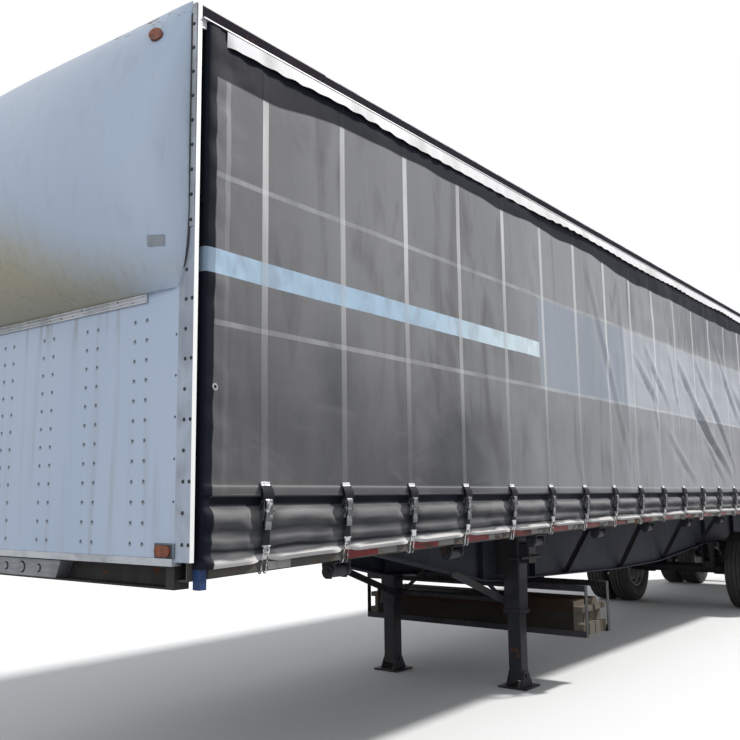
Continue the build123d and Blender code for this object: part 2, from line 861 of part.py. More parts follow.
door_left = door(1)
door_right = door(-1)
door_gear_left = door_gear(1)
door_gear_right = door_gear(-1)
finish(door_left, "door_left")
finish(door_right, "door_right")
finish(door_gear_left, "door_gear_left")
finish(door_gear_right, "door_gear_right")

# Hinge pins in their lugs on the rear frame
lug_width = 10.0
with BuildPart() as door_pins:
    for side in (-1, 1):
        for z in hinge_heights:
            reach = knuckle_length / 2 + lug_gap
            rod(
                (pin_x, side * pin_y, z - reach - lug_thickness),
                (pin_x, side * pin_y, z + reach + lug_thickness),
                pin_r,
            )
            for low in (z - reach - lug_thickness, z + reach):
                with BuildSketch(Plane.XY.offset(low)) as lug:
                    with Locations((pin_x, side * pin_y)):
                        Circle(knuckle_r)
                    with Locations(((pin_x + sta(trailer_length)) / 2, side * (pin_y + knuckle_r - lug_width))):
                        Rectangle(abs(pin_x - sta(trailer_length)), lug_width)
                extrude(lug.sketch, amount=lug_thickness)
finish(door_pins, "door_pins")

# Curtains: plain sheets outside the rails, hung behind the track's lip
curtain_gap = 1.0
curtain_y = half_width + curtain_gap
curtain_thickness = 5.0
curtain_low = rub_low + 61.0
curtain_high = track_high - track_lip_wall - seat
curtain_front = pole_front + 36.0
skirt_overlap = 20.0
valance_thickness = 3.0
valance_drop = 74.0
valance_front = 200.0


def curtain(side):
    """Sheet of one side, straight above and following the deck below."""
    with BuildPart() as sheet:
        block(
            curtain_front,
            curtain_rear,
            side * curtain_y,
            side * (curtain_y + curtain_thickness),
            curtain_low + camber,
            curtain_high,
        )
        skirt = arch_band(curtain_front, curtain_rear, curtain_low, curtain_low + camber + skirt_overlap, side * curtain_y)
        extrude(skirt, amount=-side * curtain_thickness)
    return sheet


curtain_left = curtain(1)
curtain_right = curtain(-1)
finish(curtain_left, "curtain_left")
finish(curtain_right, "curtain_right")

with BuildPart() as valances:
    for side in (-1, 1):
        valance_y = curtain_y + curtain_thickness + seat
        block(
            valance_front,
            curtain_rear,
            side * valance_y,
            side * (valance_y + valance_thickness),
            track_high - track_lip_wall - valance_drop,
            track_high - track_lip_wall - seat,
        )
finish(valances, "valances")

# Buckles: an over-centre buckle on each strap, its webbing, and a hook round the rub rail
buckle_high = 1640.0
webbing_width = 50.0
webbing = 3.0
cheek_gap = 54.0
cheek_wall = 4.0
hook_width = 40.0
hook_wall = 5.0
hook_tip = 16.0
hook_clearance = 1.0
strap_face = curtain_y + curtain_thickness + seat


def strap_piece(side, width, lifted, corners):
    """Adds the same piece, given by its outline from the side face, to every strap."""
    planes = cross_planes if lifted else level_planes
    with BuildSketch(*planes(strap_stations, width / 2)) as outline:
        with BuildLine():
            Polyline(*[(side * y, z) for y, z in corners], close=True)
        make_face()
    extrude(outline.sketch, amount=width)


def buckle_row(side):
    """Buckles, webbing and hooks of one side."""
    face = strap_face
    with BuildPart() as row:
        cheek = [
            (face, buckle_high - 70),
            (face + 20, buckle_high - 80),
            (face + 27, buckle_high - 110),
            (face + 27, buckle_high - 170),
            (face + 12, buckle_high - 205),
            (face, buckle_high - 200),
        ]
        strap_piece(side, cheek_gap + 2 * cheek_wall, False, cheek)
        with BuildSketch(*level_planes(strap_stations, cheek_gap / 2)) as between:
            with BuildLine():
                Polyline(
                    (side * (face + 10), buckle_high - 60),
                    (side * (face + 40), buckle_high - 60),
                    (side * (face + 40), buckle_high - 210),
                    (side * (face + 10), buckle_high - 210),
                    close=True,
                )
            make_face()
        extrude(between.sketch, amount=cheek_gap, mode=Mode.SUBTRACT)
        upper_webbing = [
            (face, buckle_high),
            (face + webbing, buckle_high),
            (face + webbing, buckle_high - 80),
            (face + 18, buckle_high - 96),
            (face + 18, buckle_high - 100),
            (face, buckle_high - 84),
        ]
        strap_piece(side, webbing_width, False, upper_webbing)
        lever = [
            (face + 20, buckle_high - 92),
            (face + 30, buckle_high - 92),
            (face + 34, buckle_high - 190),
            (face + 27, buckle_high - 192),
            (face + 24, buckle_high - 104),
            (face + 8, buckle_high - 104),
        ]
        strap_piece(side, cheek_gap, False, lever)
        lower_webbing = [
            (face, rub_low + 140),
            (face + webbing, rub_low + 140),
            (face + webbing, buckle_high - 190 - camber),
            (face, buckle_high - 190 - camber),
        ]
        strap_piece(side, webbing_width, True, lower_webbing)
        tail = [
            (face, buckle_high - 190 - camber - 12),
            (face + webbing, buckle_high - 190 - camber - 12),
            (face + webbing, buckle_high - 190),
            (face, buckle_high - 190),
        ]
        strap_piece(side, webbing_width, False, tail)
        hook_low = rub_low - hook_clearance - hook_wall
        tip_y = rub_inner_y - hook_clearance
        hook = [
            (face, rub_low + 150),
            (face + hook_wall, rub_low + 150),
            (face + hook_wall, hook_low),
            (tip_y - hook_wall, hook_low),
            (tip_y - hook_wall, hook_low + hook_wall + hook_tip),
            (tip_y, hook_low + hook_wall + hook_tip),
            (tip_y, hook_low + hook_wall),
            (face, hook_low + hook_wall),
        ]
        strap_piece(side, hook_width, True, hook)
    return row


buckles_left = buckle_row(1)
buckles_right = buckle_row(-1)
finish(buckles_left, "buckles_left")
finish(buckles_right, "buckles_right")

# Strap winches under the left rail: a bracket, a drum with wound strap, a ratchet and a cap
winch_first = 1070.0
winch_pitch = 1150.0
winch_margin = 400.0
winch_count = int((trailer_length - winch_margin - winch_first) / winch_pitch) + 1
winch_half = 66.0
winch_cheek = 6.0
winch_top_y = (rail_web_y - rail_foot, rub_inner_y - 12.0)
winch_drop = 50.0
winch_drum_r = 31.0
winch_shaft_r = 13.0
winch_cap_r = 24.0
winch_cap_length = 34.0
ratchet_r = 36.0
ratchet_length = 9.0

winch_stations = [winch_first + winch_pitch * n for n in range(winch_count)]
winch_mid_y = sum(winch_top_y) / 2
winch_top_z = rail_low - seat
winch_shaft_z = winch_top_z - winch_drop
winch_rounds = [
    # radius, front end and rear end from the winch's middle
    (winch_drum_r, -winch_half, winch_half),
    (ratchet_r, -winch_half, -winch_half - ratchet_length),
    (winch_shaft_r, -winch_half - 2 * ratchet_length, winch_half + winch_cap_length),
    (winch_cap_r, winch_half, winch_half + winch_cap_length),
]
winch_cheek_outline = [
    (winch_top_y[0], winch_top_z),
    (winch_top_y[0] + 4.0, winch_shaft_z),
    (winch_mid_y - ratchet_r / 2, winch_shaft_z - ratchet_r),
    (winch_mid_y + ratchet_r / 2, winch_shaft_z - ratchet_r),
    (winch_top_y[1] - 4.0, winch_shaft_z),
    (winch_top_y[1], winch_top_z),
]

with BuildPart() as winches:
    with BuildSketch(*cross_planes(winch_stations, winch_half, winch_half)) as winch_top:
        with Locations((winch_mid_y, winch_top_z - winch_cheek / 2)):
            Rectangle(winch_top_y[1] - winch_top_y[0], winch_cheek)
    extrude(winch_top.sketch, amount=2 * winch_half)
    for edge in (winch_cheek - winch_half, winch_half):
        with BuildSketch(*cross_planes(winch_stations, edge, winch_half)) as winch_cheeks:
            with BuildLine():
                Polyline(*winch_cheek_outline, close=True)
            make_face()
        extrude(winch_cheeks.sketch, amount=winch_cheek)
    for radius, front, rear in winch_rounds:
        with BuildSketch(*cross_planes(winch_stations, max(front, rear), winch_half)) as winch_round:
            with Locations((winch_mid_y, winch_shaft_z)):
                Circle(radius)
        extrude(winch_round.sketch, amount=abs(rear - front))
finish(winches, "winches")

# Landing gear: telescopic legs outside the beams, with feet, brackets and a gearbox on the left
leg_station = 4180.0
leg_y = 632.0
leg_outer = 150.0
leg_corner = 14.0
leg_inner = 116.0
leg_collar = 168.0
collar_height = 34.0
leg_outer_low = 590.0
leg_top = joist_low - 8.0
foot_size = 250.0
foot_thickness = 16.0
foot_cheek_high = 130.0
foot_pin_z = 95.0
bracket_thickness = 10.0
bracket_low = 905.0
gearbox_depth = 90.0
gearbox_length = 128.0
gearbox_low = 1000.0
gearbox_high = 1165.0
crank_r = 11.0
crank_z = 1060.0
crank_reach = 70.0
crank_arm = 330.0
crank_grip = 120.0


def landing_leg(side):
    """Outer tube with collar and brackets, inner leg, and a foot on its pin."""
    y = side * leg_y
    with BuildPart() as leg:
        square_tube(leg_station, y, leg_outer, leg_corner, leg_outer_low, leg_top)
        square_tube(leg_station, y, leg_collar, leg_corner, leg_outer_low, leg_outer_low + collar_height)
        square_tube(leg_station, y, leg_inner, leg_corner / 2, foot_pin_z - 30.0, leg_outer_low)
        plate(
            side_plane(y),
            [
                (sta(leg_station) - foot_size / 2, foot_thickness),
                (sta(leg_station) - foot_size / 2, 0),
                (sta(leg_station) + foot_size / 2, 0),
                (sta(leg_station) + foot_size / 2, foot_thickness),
            ],
            foot_size,
        )
        for cheek_y in (y - leg_inner / 2 - 6.0, y + leg_inner / 2 + 6.0):
            plate(
                side_plane(cheek_y),
                [
                    (sta(leg_station) - foot_size * 0.4, foot_thickness),
                    (sta(leg_station) + foot_size * 0.4, foot_thickness),
                    (sta(leg_station) + 34.0, foot_cheek_high),
                    (sta(leg_station) - 34.0, foot_cheek_high),
                ],
                12.0,
            )
        pin_reach = leg_inner / 2 + 24.0
        rod(
            (sta(leg_station), y - pin_reach, foot_pin_z),
            (sta(leg_station), y + pin_reach, foot_pin_z),
            16.0,
        )
        for bracket_d in (leg_station - leg_outer / 2, leg_station + leg_outer / 2 - bracket_thickness):
            block(
                bracket_d,
                bracket_d + bracket_thickness,
                side * (leg_y - leg_outer / 2 + leg_corner),
                side * (web_face + seat),
                bracket_low,
                leg_top,
            )
        if side > 0:
            gear_y = leg_y + leg_outer / 2
            with BuildSketch(side_plane(gear_y)) as gear_case:
                with Locations((sta(leg_station), (gearbox_low + gearbox_high) / 2)):
                    RectangleRounded(gearbox_length, gearbox_high - gearbox_low, leg_corner)
            extrude(gear_case.sketch, amount=-gearbox_depth)
            arm_y = gear_y + gearbox_depth + crank_reach
            rod((sta(leg_station), gear_y, crank_z), (sta(leg_station), arm_y, crank_z), crank_r)
            rod(
                (sta(leg_station) - crank_r, arm_y, crank_z),
                (sta(leg_station) + crank_arm, arm_y, crank_z),
                crank_r,
            )
            rod(
                (sta(leg_station) + crank_arm, arm_y + crank_r, crank_z),
                (sta(leg_station) + crank_arm, arm_y - crank_grip, crank_z),
                crank_r,
            )
    return leg


landing_leg_left = landing_leg(1)
landing_leg_right = landing_leg(-1)
finish(landing_leg_left, "landing_leg_left")
finish(landing_leg_right, "landing_leg_right")

# Bracing: a channel between the beams, a tube and drive shaft between the legs, and diagonals
cross_channel_low = 1080.0
cross_channel_high = 1160.0
leg_tube_z = 690.0
leg_tube_r = 24.0
shaft_r = 13.0
shaft_z = 812.0
diagonal_width = 50.0
diagonal_wall = 8.0
forward_station = 3340.0
forward_width = 60.0
forward_y = flange_edge + 8.0
with BuildPart() as landing_bracing:
    leg_face = leg_y - leg_outer / 2 - seat
    for z, radius in ((leg_tube_z, leg_tube_r), (shaft_z, shaft_r)):
        rod((sta(leg_station), -leg_face, z), (sta(leg_station), leg_face, z), radius)
    block(
        leg_station - diagonal_width / 2,
        leg_station + diagonal_width / 2,
        -web_face + beam_web + seat,
        web_face - beam_web - seat,
        cross_channel_low,
        cross_channel_high,
    )
    for side in (-1, 1):
        plate(
            cross_plane(leg_station),
            [
                (side * (leg_face - 70), leg_tube_z),
                (side * (leg_face - 20), leg_tube_z),
                (side * 80, cross_channel_low + 10),
                (side * 30, cross_channel_low + 10),
            ],
            diagonal_wall,
        )
        leg_front = sta(leg_station) + leg_outer / 2 + seat
        brace_top = beam_low_at(forward_station) + beam_flange
        plate(
            side_plane(side * (forward_y + diagonal_wall / 2)),
            [
                (leg_front, leg_tube_z - forward_width / 2),
                (leg_front, leg_tube_z + forward_width / 2),
                (sta(forward_station) - forward_width / 2, brace_top),
                (sta(forward_station) + forward_width, brace_top),
                (sta(forward_station) + forward_width, brace_top - forward_width / 2),
            ],
            diagonal_wall,
        )
        block(
            forward_station - forward_width,
            forward_station + forward_width / 2,
            side * (flange_edge + seat),
            side * forward_y,
            brace_top - beam_flange,
            brace_top,
        )
finish(landing_bracing, "landing_bracing")

# Dunnage rack: two hoops hung from the beams behind the legs, full of timber
rack_front = 4450.0
rack_rear = 4950.0
rack_half_width = 1120.0
rack_bar = 50.0
rack_low = 395.0
rack_high = 812.0
rack_wall = 6.0
hanger_half = 30.0
with BuildPart() as dunnage_rack:
    for d0, d1, lip in (
        (rack_front, rack_front + rack_bar, rack_front + rack_wall),
        (rack_rear - rack_bar, rack_rear, rack_rear - rack_wall),
    ):
        outer_face = rack_front if d0 == rack_front else rack_rear
        block(d0, d1, -rack_half_width, rack_half_width, rack_low, rack_low + rack_wall)
        block(outer_face, lip, -rack_half_width, rack_half_width, rack_low, rack_low + rack_bar)
        block(d0, d1, -rack_half_width, rack_half_width, rack_high - rack_wall, rack_high)
        block(outer_face, lip, -rack_half_width, rack_half_width, rack_high - rack_bar, rack_high)
        for side in (-1, 1):
            block(
                d0,
                d1,
                side * rack_half_width,
                side * (rack_half_width - rack_wall),
                rack_low,
                rack_high,
            )
            hanger_z = min(beam_low_at(d0), beam_low_at(d1)) - seat
            block(
                d0,
                d1,
                side * (beam_y - hanger_half),
                side * (beam_y + hanger_half),
                rack_high - rack_wall,
                hanger_z,
            )
    for y in (-beam_y, beam_y):
        block(rack_front, rack_rear, y - hanger_half, y + hanger_half, rack_low, rack_low + rack_wall)
finish(dunnage_rack, "dunnage_rack")

timber_margin = 14.0
timber_layers = [
    # width, height, pieces in the layer, half length
    (105.0, 95.0, 4, 1090.0),
    (105.0, 95.0, 4, 1040.0),
    (210.0, 42.0, 2, 1085.0),
    (210.0, 42.0, 2, 1010.0),
]
with BuildPart() as dunnage:
    layer_low = rack_low + rack_wall + seat
    for width, height, pieces, half_length in timber_layers:
        room = rack_rear - rack_front - 2 * timber_margin
        spacing = (room - width) / (pieces - 1)
        for n in range(pieces):
            front = rack_front + timber_margin + spacing * n
            block(front, front + width, -half_length, half_length, layer_low, layer_low + height)
        layer_low += height + seat
finish(dunnage, "dunnage")

# Axles with backing plates, brake chambers and camshafts
axle_stations = [10500.0, 13573.0]
tyre_r = 512.0
tyre_width = 280.0
tread_half = 108.0
bead_half = 88.0
bead_gap = 6.0
sidewall_r = 405.0
rim_r = 292.0
dual_spacing = 343.0
wheel_outer_y = half_width - 10.0
outer_tyre_y = wheel_outer_y - tyre_width / 2
inner_tyre_y = outer_tyre_y - dual_spacing
disc_y = (outer_tyre_y + inner_tyre_y) / 2
spindle_r = 45.0
spindle_clearance = 0.5
axle_r = 63.5
drum_r = 205.0
drum_wall = 16.0
drum_inner_y = inner_tyre_y - 60.0
backing_thickness = 5.0
backing_gap = 6.0
hub_r = 88.0
hub_flange_r = 168.0
hub_end_y = outer_tyre_y + 40.0
cap_r = 62.0
cap_length = 45.0
chamber_r = 76.0
chamber_length = 130.0
chamber_y = 330.0
chamber_lift = 96.0
chamber_back = 70.0
camshaft_r = 16.0
camshaft_back = 96.0

with BuildPart() as axles:
    for d in axle_stations:
        backing_y = drum_inner_y - backing_gap
        rod((sta(d), -backing_y, tyre_r), (sta(d), backing_y, tyre_r), axle_r)
        rod((sta(d), -hub_end_y + 20, tyre_r), (sta(d), hub_end_y - 20, tyre_r), spindle_r)
        for side in (-1, 1):
            rod(
                (sta(d), side * (backing_y - backing_thickness), tyre_r),
                (sta(d), side * backing_y, tyre_r),
                drum_r - drum_wall,
            )
            rod(
                (sta(d + camshaft_back), side * (chamber_y - 40), tyre_r),
                (sta(d + camshaft_back), side * backing_y, tyre_r),
                camshaft_r,
            )
            block(
                d,
                d + camshaft_back,
                side * (chamber_y - 12),
                side * (chamber_y + 12),
                tyre_r - 30,
                tyre_r + 30,
            )
            block(
                d + chamber_back,
                d + chamber_back + 12,
                side * (chamber_y - 60),
                side * (chamber_y + 60),
                tyre_r - 30,
                tyre_r + chamber_lift + chamber_r,
            )
            rod(
                (sta(d + chamber_back + chamber_length), side * chamber_y, tyre_r + chamber_lift),
                (sta(d + chamber_back), side * chamber_y, tyre_r + chamber_lift),
                chamber_r,
            )
            rod(
                (sta(d + chamber_back + chamber_length / 2 + 8), side * chamber_y, tyre_r + chamber_lift),
                (sta(d + chamber_back + chamber_length / 2 - 8), side * chamber_y, tyre_r + chamber_lift),
                chamber_r + 8,
            )
finish(axles, "axles")

# Air suspension: hangers, trailing arms on the axle, air springs and shock absorbers
arm_half = 38.0
saddle_wall = 16.0
hanger_back = 520.0
hanger_low = tyre_r + 45.0
pivot_z = tyre_r + 100.0
arm_bottom = tyre_r + axle_r
spring_back = 400.0
spring_r = 118.0
spring_neck_r = 96.0
spring_top_plate = 10.0
shock_r = 30.0
axle_beam_low = beam_lower_line[-1][1]
with BuildPart() as suspension:
    for d in axle_stations:
        for y in (-beam_y, beam_y):
            pivot_x = sta(d) + hanger_back
            for cheek_y in (y - arm_half - 12, y + arm_half + 12):
                plate(
                    side_plane(cheek_y),
                    [
                        (pivot_x - 150, axle_beam_low - seat),
                        (pivot_x - 60, hanger_low),
                        (pivot_x + 60, hanger_low),
                        (pivot_x + 110, axle_beam_low - seat),
                    ],
                    10.0,
                )
            block(
                d - hanger_back - 110,
                d - hanger_back + 150,
                y - arm_half - 17,
                y + arm_half + 17,
                axle_beam_low - seat - 12,
                axle_beam_low - seat,
            )
            rod((pivot_x, y - arm_half - 30, pivot_z), (pivot_x, y + arm_half + 30, pivot_z), 24)
            plate(
                side_plane(y),
                [
                    (pivot_x + 50, pivot_z - 30),
                    (pivot_x + 50, pivot_z + 30),
                    (pivot_x + 20, pivot_z + 52),
                    (sta(d) + 110, arm_bottom + 120),
                    (sta(d) - 110, arm_bottom + 120),
                    (sta(d) - spring_back - 120, arm_bottom + 60),
                    (sta(d) - spring_back - 120, arm_bottom + 30),
                    (sta(d) - 130, arm_bottom + 4),
                    (sta(d) + 130, arm_bottom + 4),
                    (pivot_x - 20, pivot_z - 52),
                ],
                2 * arm_half,
            )
            rod((sta(d), y - 70, tyre_r), (sta(d), y + 70, tyre_r), axle_r + saddle_wall)
            rod((sta(d), y - 80, tyre_r), (sta(d), y + 80, tyre_r), axle_r + seat, mode=Mode.SUBTRACT)
            spring_low = arm_bottom + 58
            spring_high = axle_beam_low - seat
            lobe = (spring_high - spring_low - 2 * spring_top_plate) / 3
            with BuildSketch(Plane(origin=(sta(d) - spring_back, y, 0), x_dir=(1, 0, 0), z_dir=(0, -1, 0))) as bellows:
                with BuildLine():
                    z0 = spring_low
                    z1 = spring_low + lobe
                    z2 = z1 + lobe
                    z3 = z2 + lobe
                    Polyline((0, z0), (spring_neck_r - 20, z0), (spring_neck_r, z0 + 8), (spring_neck_r, z1))
                    ThreePointArc((spring_neck_r, z1), (spring_r, (z1 + z2) / 2), (spring_neck_r, z2))
                    ThreePointArc((spring_neck_r, z2), (spring_r, (z2 + z3) / 2), (spring_neck_r, z3))
                    Polyline((spring_neck_r, z3), (spring_r - 8, z3), (spring_r - 8, spring_high), (0, spring_high), (0, z0))
                make_face()
            revolve(bellows.sketch, axis=Axis((sta(d) - spring_back, y, 0), (0, 0, 1)))
            shock_y = y - (arm_half + 30 + shock_r) * (1 if y > 0 else -1)
            rod(
                (sta(d) + 330, shock_y, axle_beam_low - 25),
                (sta(d) + 60, shock_y, arm_bottom + 90),
                shock_r,
            )
            for bolt_x, bolt_z in ((sta(d) + 330, axle_beam_low - 25), (sta(d) + 60, arm_bottom + 90)):
                rod((bolt_x, shock_y, bolt_z), (bolt_x, y, bolt_z), 14)
            block(
                d - 350,
                d - 310,
                y - 40,
                y + 40,
                axle_beam_low - 40,
                axle_beam_low - seat,
            )
finish(suspension, "suspension")


def wheel_plane(d):
    """Plane through the axle's centre with Y across and Z up."""
    return cross_plane(d, tyre_r)


def tyre_pair(d, side):
    """Two tyres of one twin wheel, with plain tread faces."""
    with BuildPart() as pair:
        with BuildSketch(wheel_plane(d)) as tyre_section:
            for y in (outer_tyre_y, inner_tyre_y):
                with BuildLine():
                    Polyline(
                        (side * (y - tread_half), tyre_r),
                        (side * (y + tread_half), tyre_r),
                        (side * (y + tyre_width / 2), sidewall_r),
                        (side * (y + bead_half), rim_r),
                        (side * (y - bead_half), rim_r),
                        (side * (y - tyre_width / 2), sidewall_r),
                        close=True,
                    )
                make_face()
        revolve(tyre_section.sketch, axis=Axis((sta(d), 0, tyre_r), (0, 1, 0)))
    return pair


# Wheels: two rims with dished discs back to back, on a hub with its brake drum
rim_wall = 10.0
rim_lip_half = 106.0
rim_lip_r = rim_r + 10.0
rim_well_r = 262.0
disc_wall = 11.0
disc_dish = 135.0
hand_holes = 10
hand_hole_r = 24.0
hand_hole_ring = 222.0


def rim_corners(side, y):
    """Section of one rim: lips, bead seats and the well between them."""
    half = [
        # half width, radius, from the lip to the well and back under it
        (rim_lip_half, rim_lip_r),
        (bead_half + bead_gap, rim_lip_r),
        (bead_half + bead_gap, rim_r - seat),
        (60.0, rim_r - seat),
        (40.0, rim_well_r),
    ]
    under = [
        (45.0, rim_well_r - rim_wall),
        (64.0, rim_r - seat - rim_wall),
        (rim_lip_half, rim_r - seat - rim_wall),
    ]
    outer = [(side * (y + across), r) for across, r in half] + [(side * (y - across), r) for across, r in reversed(half)]
    inner = [(side * (y - across), r) for across, r in reversed(under)] + [(side * (y + across), r) for across, r in under]
    return outer + inner


def disc_corners(side, toward):
    """Section of one disc, which dishes from the twin's middle out to its rim."""
    start = side * disc_y
    step = side * toward
    return [
        (start, hub_r),
        (start, hub_flange_r + disc_wall),
        (start + step * disc_dish, rim_well_r - rim_wall / 2),
        (start + step * (disc_dish + disc_wall), rim_well_r - rim_wall / 2),
        (start + step * (disc_dish + disc_wall), rim_well_r - 2 * rim_wall),
        (start + step * disc_wall, hub_flange_r),
        (start + step * disc_wall, hub_r),
    ]


def wheel_hub(d, side):
    """Both rims and discs, the hub with its cap, and the brake drum."""
    with BuildPart() as hub:
        with BuildSketch(wheel_plane(d)) as hub_section:
            for corners in (
                rim_corners(side, outer_tyre_y),
                rim_corners(side, inner_tyre_y),
                disc_corners(side, 1),
                disc_corners(side, -1),
            ):
                with BuildLine():
                    Polyline(*corners, close=True)
                make_face()
            bore_r = spindle_r + spindle_clearance
            barrel_low_y = drum_inner_y + 60.0
            with Locations((side * (hub_end_y + barrel_low_y) / 2, (hub_r + bore_r) / 2)):
                Rectangle(hub_end_y - barrel_low_y, hub_r - bore_r)
            with Locations((side * (hub_end_y + cap_length / 2), cap_r / 2)):
                Rectangle(cap_length, cap_r)
            with Locations((side * (drum_inner_y + disc_y) / 2, drum_r - drum_wall / 2)):
                Rectangle(disc_y - drum_inner_y, drum_wall)
            with Locations((side * (disc_y - disc_wall - drum_wall / 2), (drum_r + hub_r) / 2)):
                Rectangle(drum_wall, drum_r - hub_r)
        revolve(hub_section.sketch, axis=Axis((sta(d), 0, tyre_r), (0, 1, 0)))
        with BuildSketch(Plane(origin=(sta(d), 0, tyre_r), x_dir=(1, 0, 0), z_dir=(0, 1, 0))) as hole_ring:
            with PolarLocations(hand_hole_ring, hand_holes):
                Circle(hand_hole_r)
        extrude(hole_ring.sketch, amount=side * (outer_tyre_y + rim_lip_half), mode=Mode.SUBTRACT)
    return hub


for axle_name, d in zip(("front", "rear"), axle_stations):
    for side_name, side in (("left", 1), ("right", -1)):
        finish(tyre_pair(d, side), f"tyres_{axle_name}_{side_name}")
        finish(wheel_hub(d, side), f"hub_{axle_name}_{side_name}")

# Air tanks under the joists
tank_r = 120.0
tank_half = 330.0
tank_drop = 200.0
tank_strap_y = 220.0
with BuildPart() as air_tanks:
    for d in joist_stations[18:20]:
        tank_z = joist_low + rise(d) - tank_drop
        rod((sta(d), -tank_half, tank_z), (sta(d), tank_half, tank_z), tank_r)
        for y in (-tank_strap_y, tank_strap_y):
            rod((sta(d), y - 15, tank_z), (sta(d), y + 15, tank_z), tank_r + 5)
            block(d - 20, d + 20, y - 15, y + 15, tank_z + tank_r - 10, joist_low + lowest_rise(d, 20) - 2 * seat)
finish(air_tanks, "air_tanks")

# Mud flaps, each hung behind a tube that stands out from the beam
flap_thickness = 8.0
flap_tube_r = 22.0
flap_station = axle_stations[1] + tyre_r + 150.0
flap_z = axle_beam_low + 110.0
flap_low = 250.0
flap_inner = inner_tyre_y - tyre_width / 2
flap_outer = wheel_outer_y
with BuildPart() as flap_brackets:
    for side in (-1, 1):
        rod(
            (sta(flap_station), side * (web_face + seat), flap_z),
            (sta(flap_station), side * flap_outer, flap_z),
            flap_tube_r,
        )
finish(flap_brackets, "flap_brackets")

with BuildPart() as mud_flaps:
    for side in (-1, 1):
        front = flap_station + flap_tube_r + seat
        block(front, front + flap_thickness, side * flap_inner, side * flap_outer, flap_low, flap_z + flap_tube_r)
finish(mud_flaps, "mud_flaps")

# Rear guard, and rubber dock bumpers on the sill
guard_low = 480.0
guard_height = 100.0
guard_depth = 90.0
guard_half_width = 1150.0
guard_post = 80.0
with BuildPart() as rear_guard:
    guard_rear = trailer_length
    block(
        guard_rear - guard_depth,
        guard_rear,
        -guard_half_width,
        guard_half_width,
        guard_low,
        guard_low + guard_height,
    )
    for y in (-beam_y, beam_y):
        plate(
            side_plane(y),
            [
                (sta(guard_rear), guard_low + guard_height),
                (sta(guard_rear), sill_low - seat),
                (sta(guard_rear - 2 * guard_depth), axle_beam_low - seat),
                (sta(guard_rear - guard_depth), guard_low + guard_height),
            ],
            guard_post,
        )
    for y in (-beam_y, beam_y):
        block(
            guard_rear - 3 * guard_depth,
            guard_rear - rear_post - seat,
            y - guard_post,
            y + guard_post,
            axle_beam_low - 60,
            sill_low,
            mode=Mode.SUBTRACT,
        )
finish(rear_guard, "rear_guard")

bumper_y = 640.0
bumper_width = 100.0
bumper_height = 100.0
bumper_depth = 60.0
with BuildPart() as dock_bumpers:
    for y in (-bumper_y, bumper_y):
        block(
            trailer_length,
            trailer_length + bumper_depth,
            y - bumper_width / 2,
            y + bumper_width / 2,
            sill_low + 15.0,
            sill_low + 15.0 + bumper_height,
        )
finish(dock_bumpers, "dock_bumpers")

# Lamps: amber on the nose, wall and sides, red in the sill, the header and the sides' rear
wall_lamp_y = 1136.0
wall_lamp_z = wall_low + 31.0
wall_lamp_length = 100.0
wall_lamp_height = 50.0
side_lamp_length = 60.0
side_lamp_height = 26.0
side_lamp_depth = 12.0
header_lamp_y = [-200.0, 0.0, 200.0]
header_lamp_r = 20.0
with BuildPart() as marker_lamps:
    for side in (-1, 1):
        base = nose_lamp_point(side, -nose_lamp_sink + seat)
        rod(tuple(base), tuple(nose_lamp_point(side, nose_lamp_proud)), nose_lamp_r)
        with BuildSketch(cross_plane(0)) as wall_lamp:
            with Locations((side * wall_lamp_y, wall_lamp_z)):
                SlotOverall(wall_lamp_length, wall_lamp_height)
        extrude(wall_lamp.sketch, amount=22.0)
        middle = len(pocket_stations) // 2
        d = strap_stations[middle] + strap_pitch / 4
        z = rail_low + lowest_rise(d, side_lamp_length) - seat
        block(
            d - side_lamp_length,
            d + side_lamp_length,
            side * (rail_web_y - side_lamp_depth),
            side * (rail_web_y - 2 * side_lamp_depth),
            z - side_lamp_height,
            z,
        )
finish(marker_lamps, "marker_lamps")

tail_rim = 8.0
with BuildPart() as tail_lamps:
    for side in (-1, 1):
        for y in tail_lamp_y:
            rod(
                (sta(trailer_length - frame_wall - 20), side * y, tail_lamp_z),
                (sta(trailer_length), side * y, tail_lamp_z),
                tail_hole_r,
            )
            rod(
                (sta(trailer_length) - seat, side * y, tail_lamp_z),
                (sta(trailer_length) - 10.0, side * y, tail_lamp_z),
                tail_hole_r + tail_rim,
            )
            rod((sta(trailer_length), side * y, tail_lamp_z), (sta(trailer_length) - 1.0, side * y, tail_lamp_z), tail_hole_r)
    for y in header_lamp_y:
        z = (top_rail_high + door_high) / 2
        rod((sta(trailer_length), y, z), (sta(trailer_length) - 16.0, y, z), header_lamp_r)
finish(tail_lamps, "tail_lamps")
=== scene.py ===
"""Dresses the curtain-side semi trailer: finishes, curtains, straps, rivets, tyres and lamps."""

import logging
import math
from contextlib import contextmanager
from dataclasses import dataclass, field
from enum import Enum
from typing import Iterator, Sequence

import bpy
import numpy as np
from mathutils import Matrix, Vector, noise


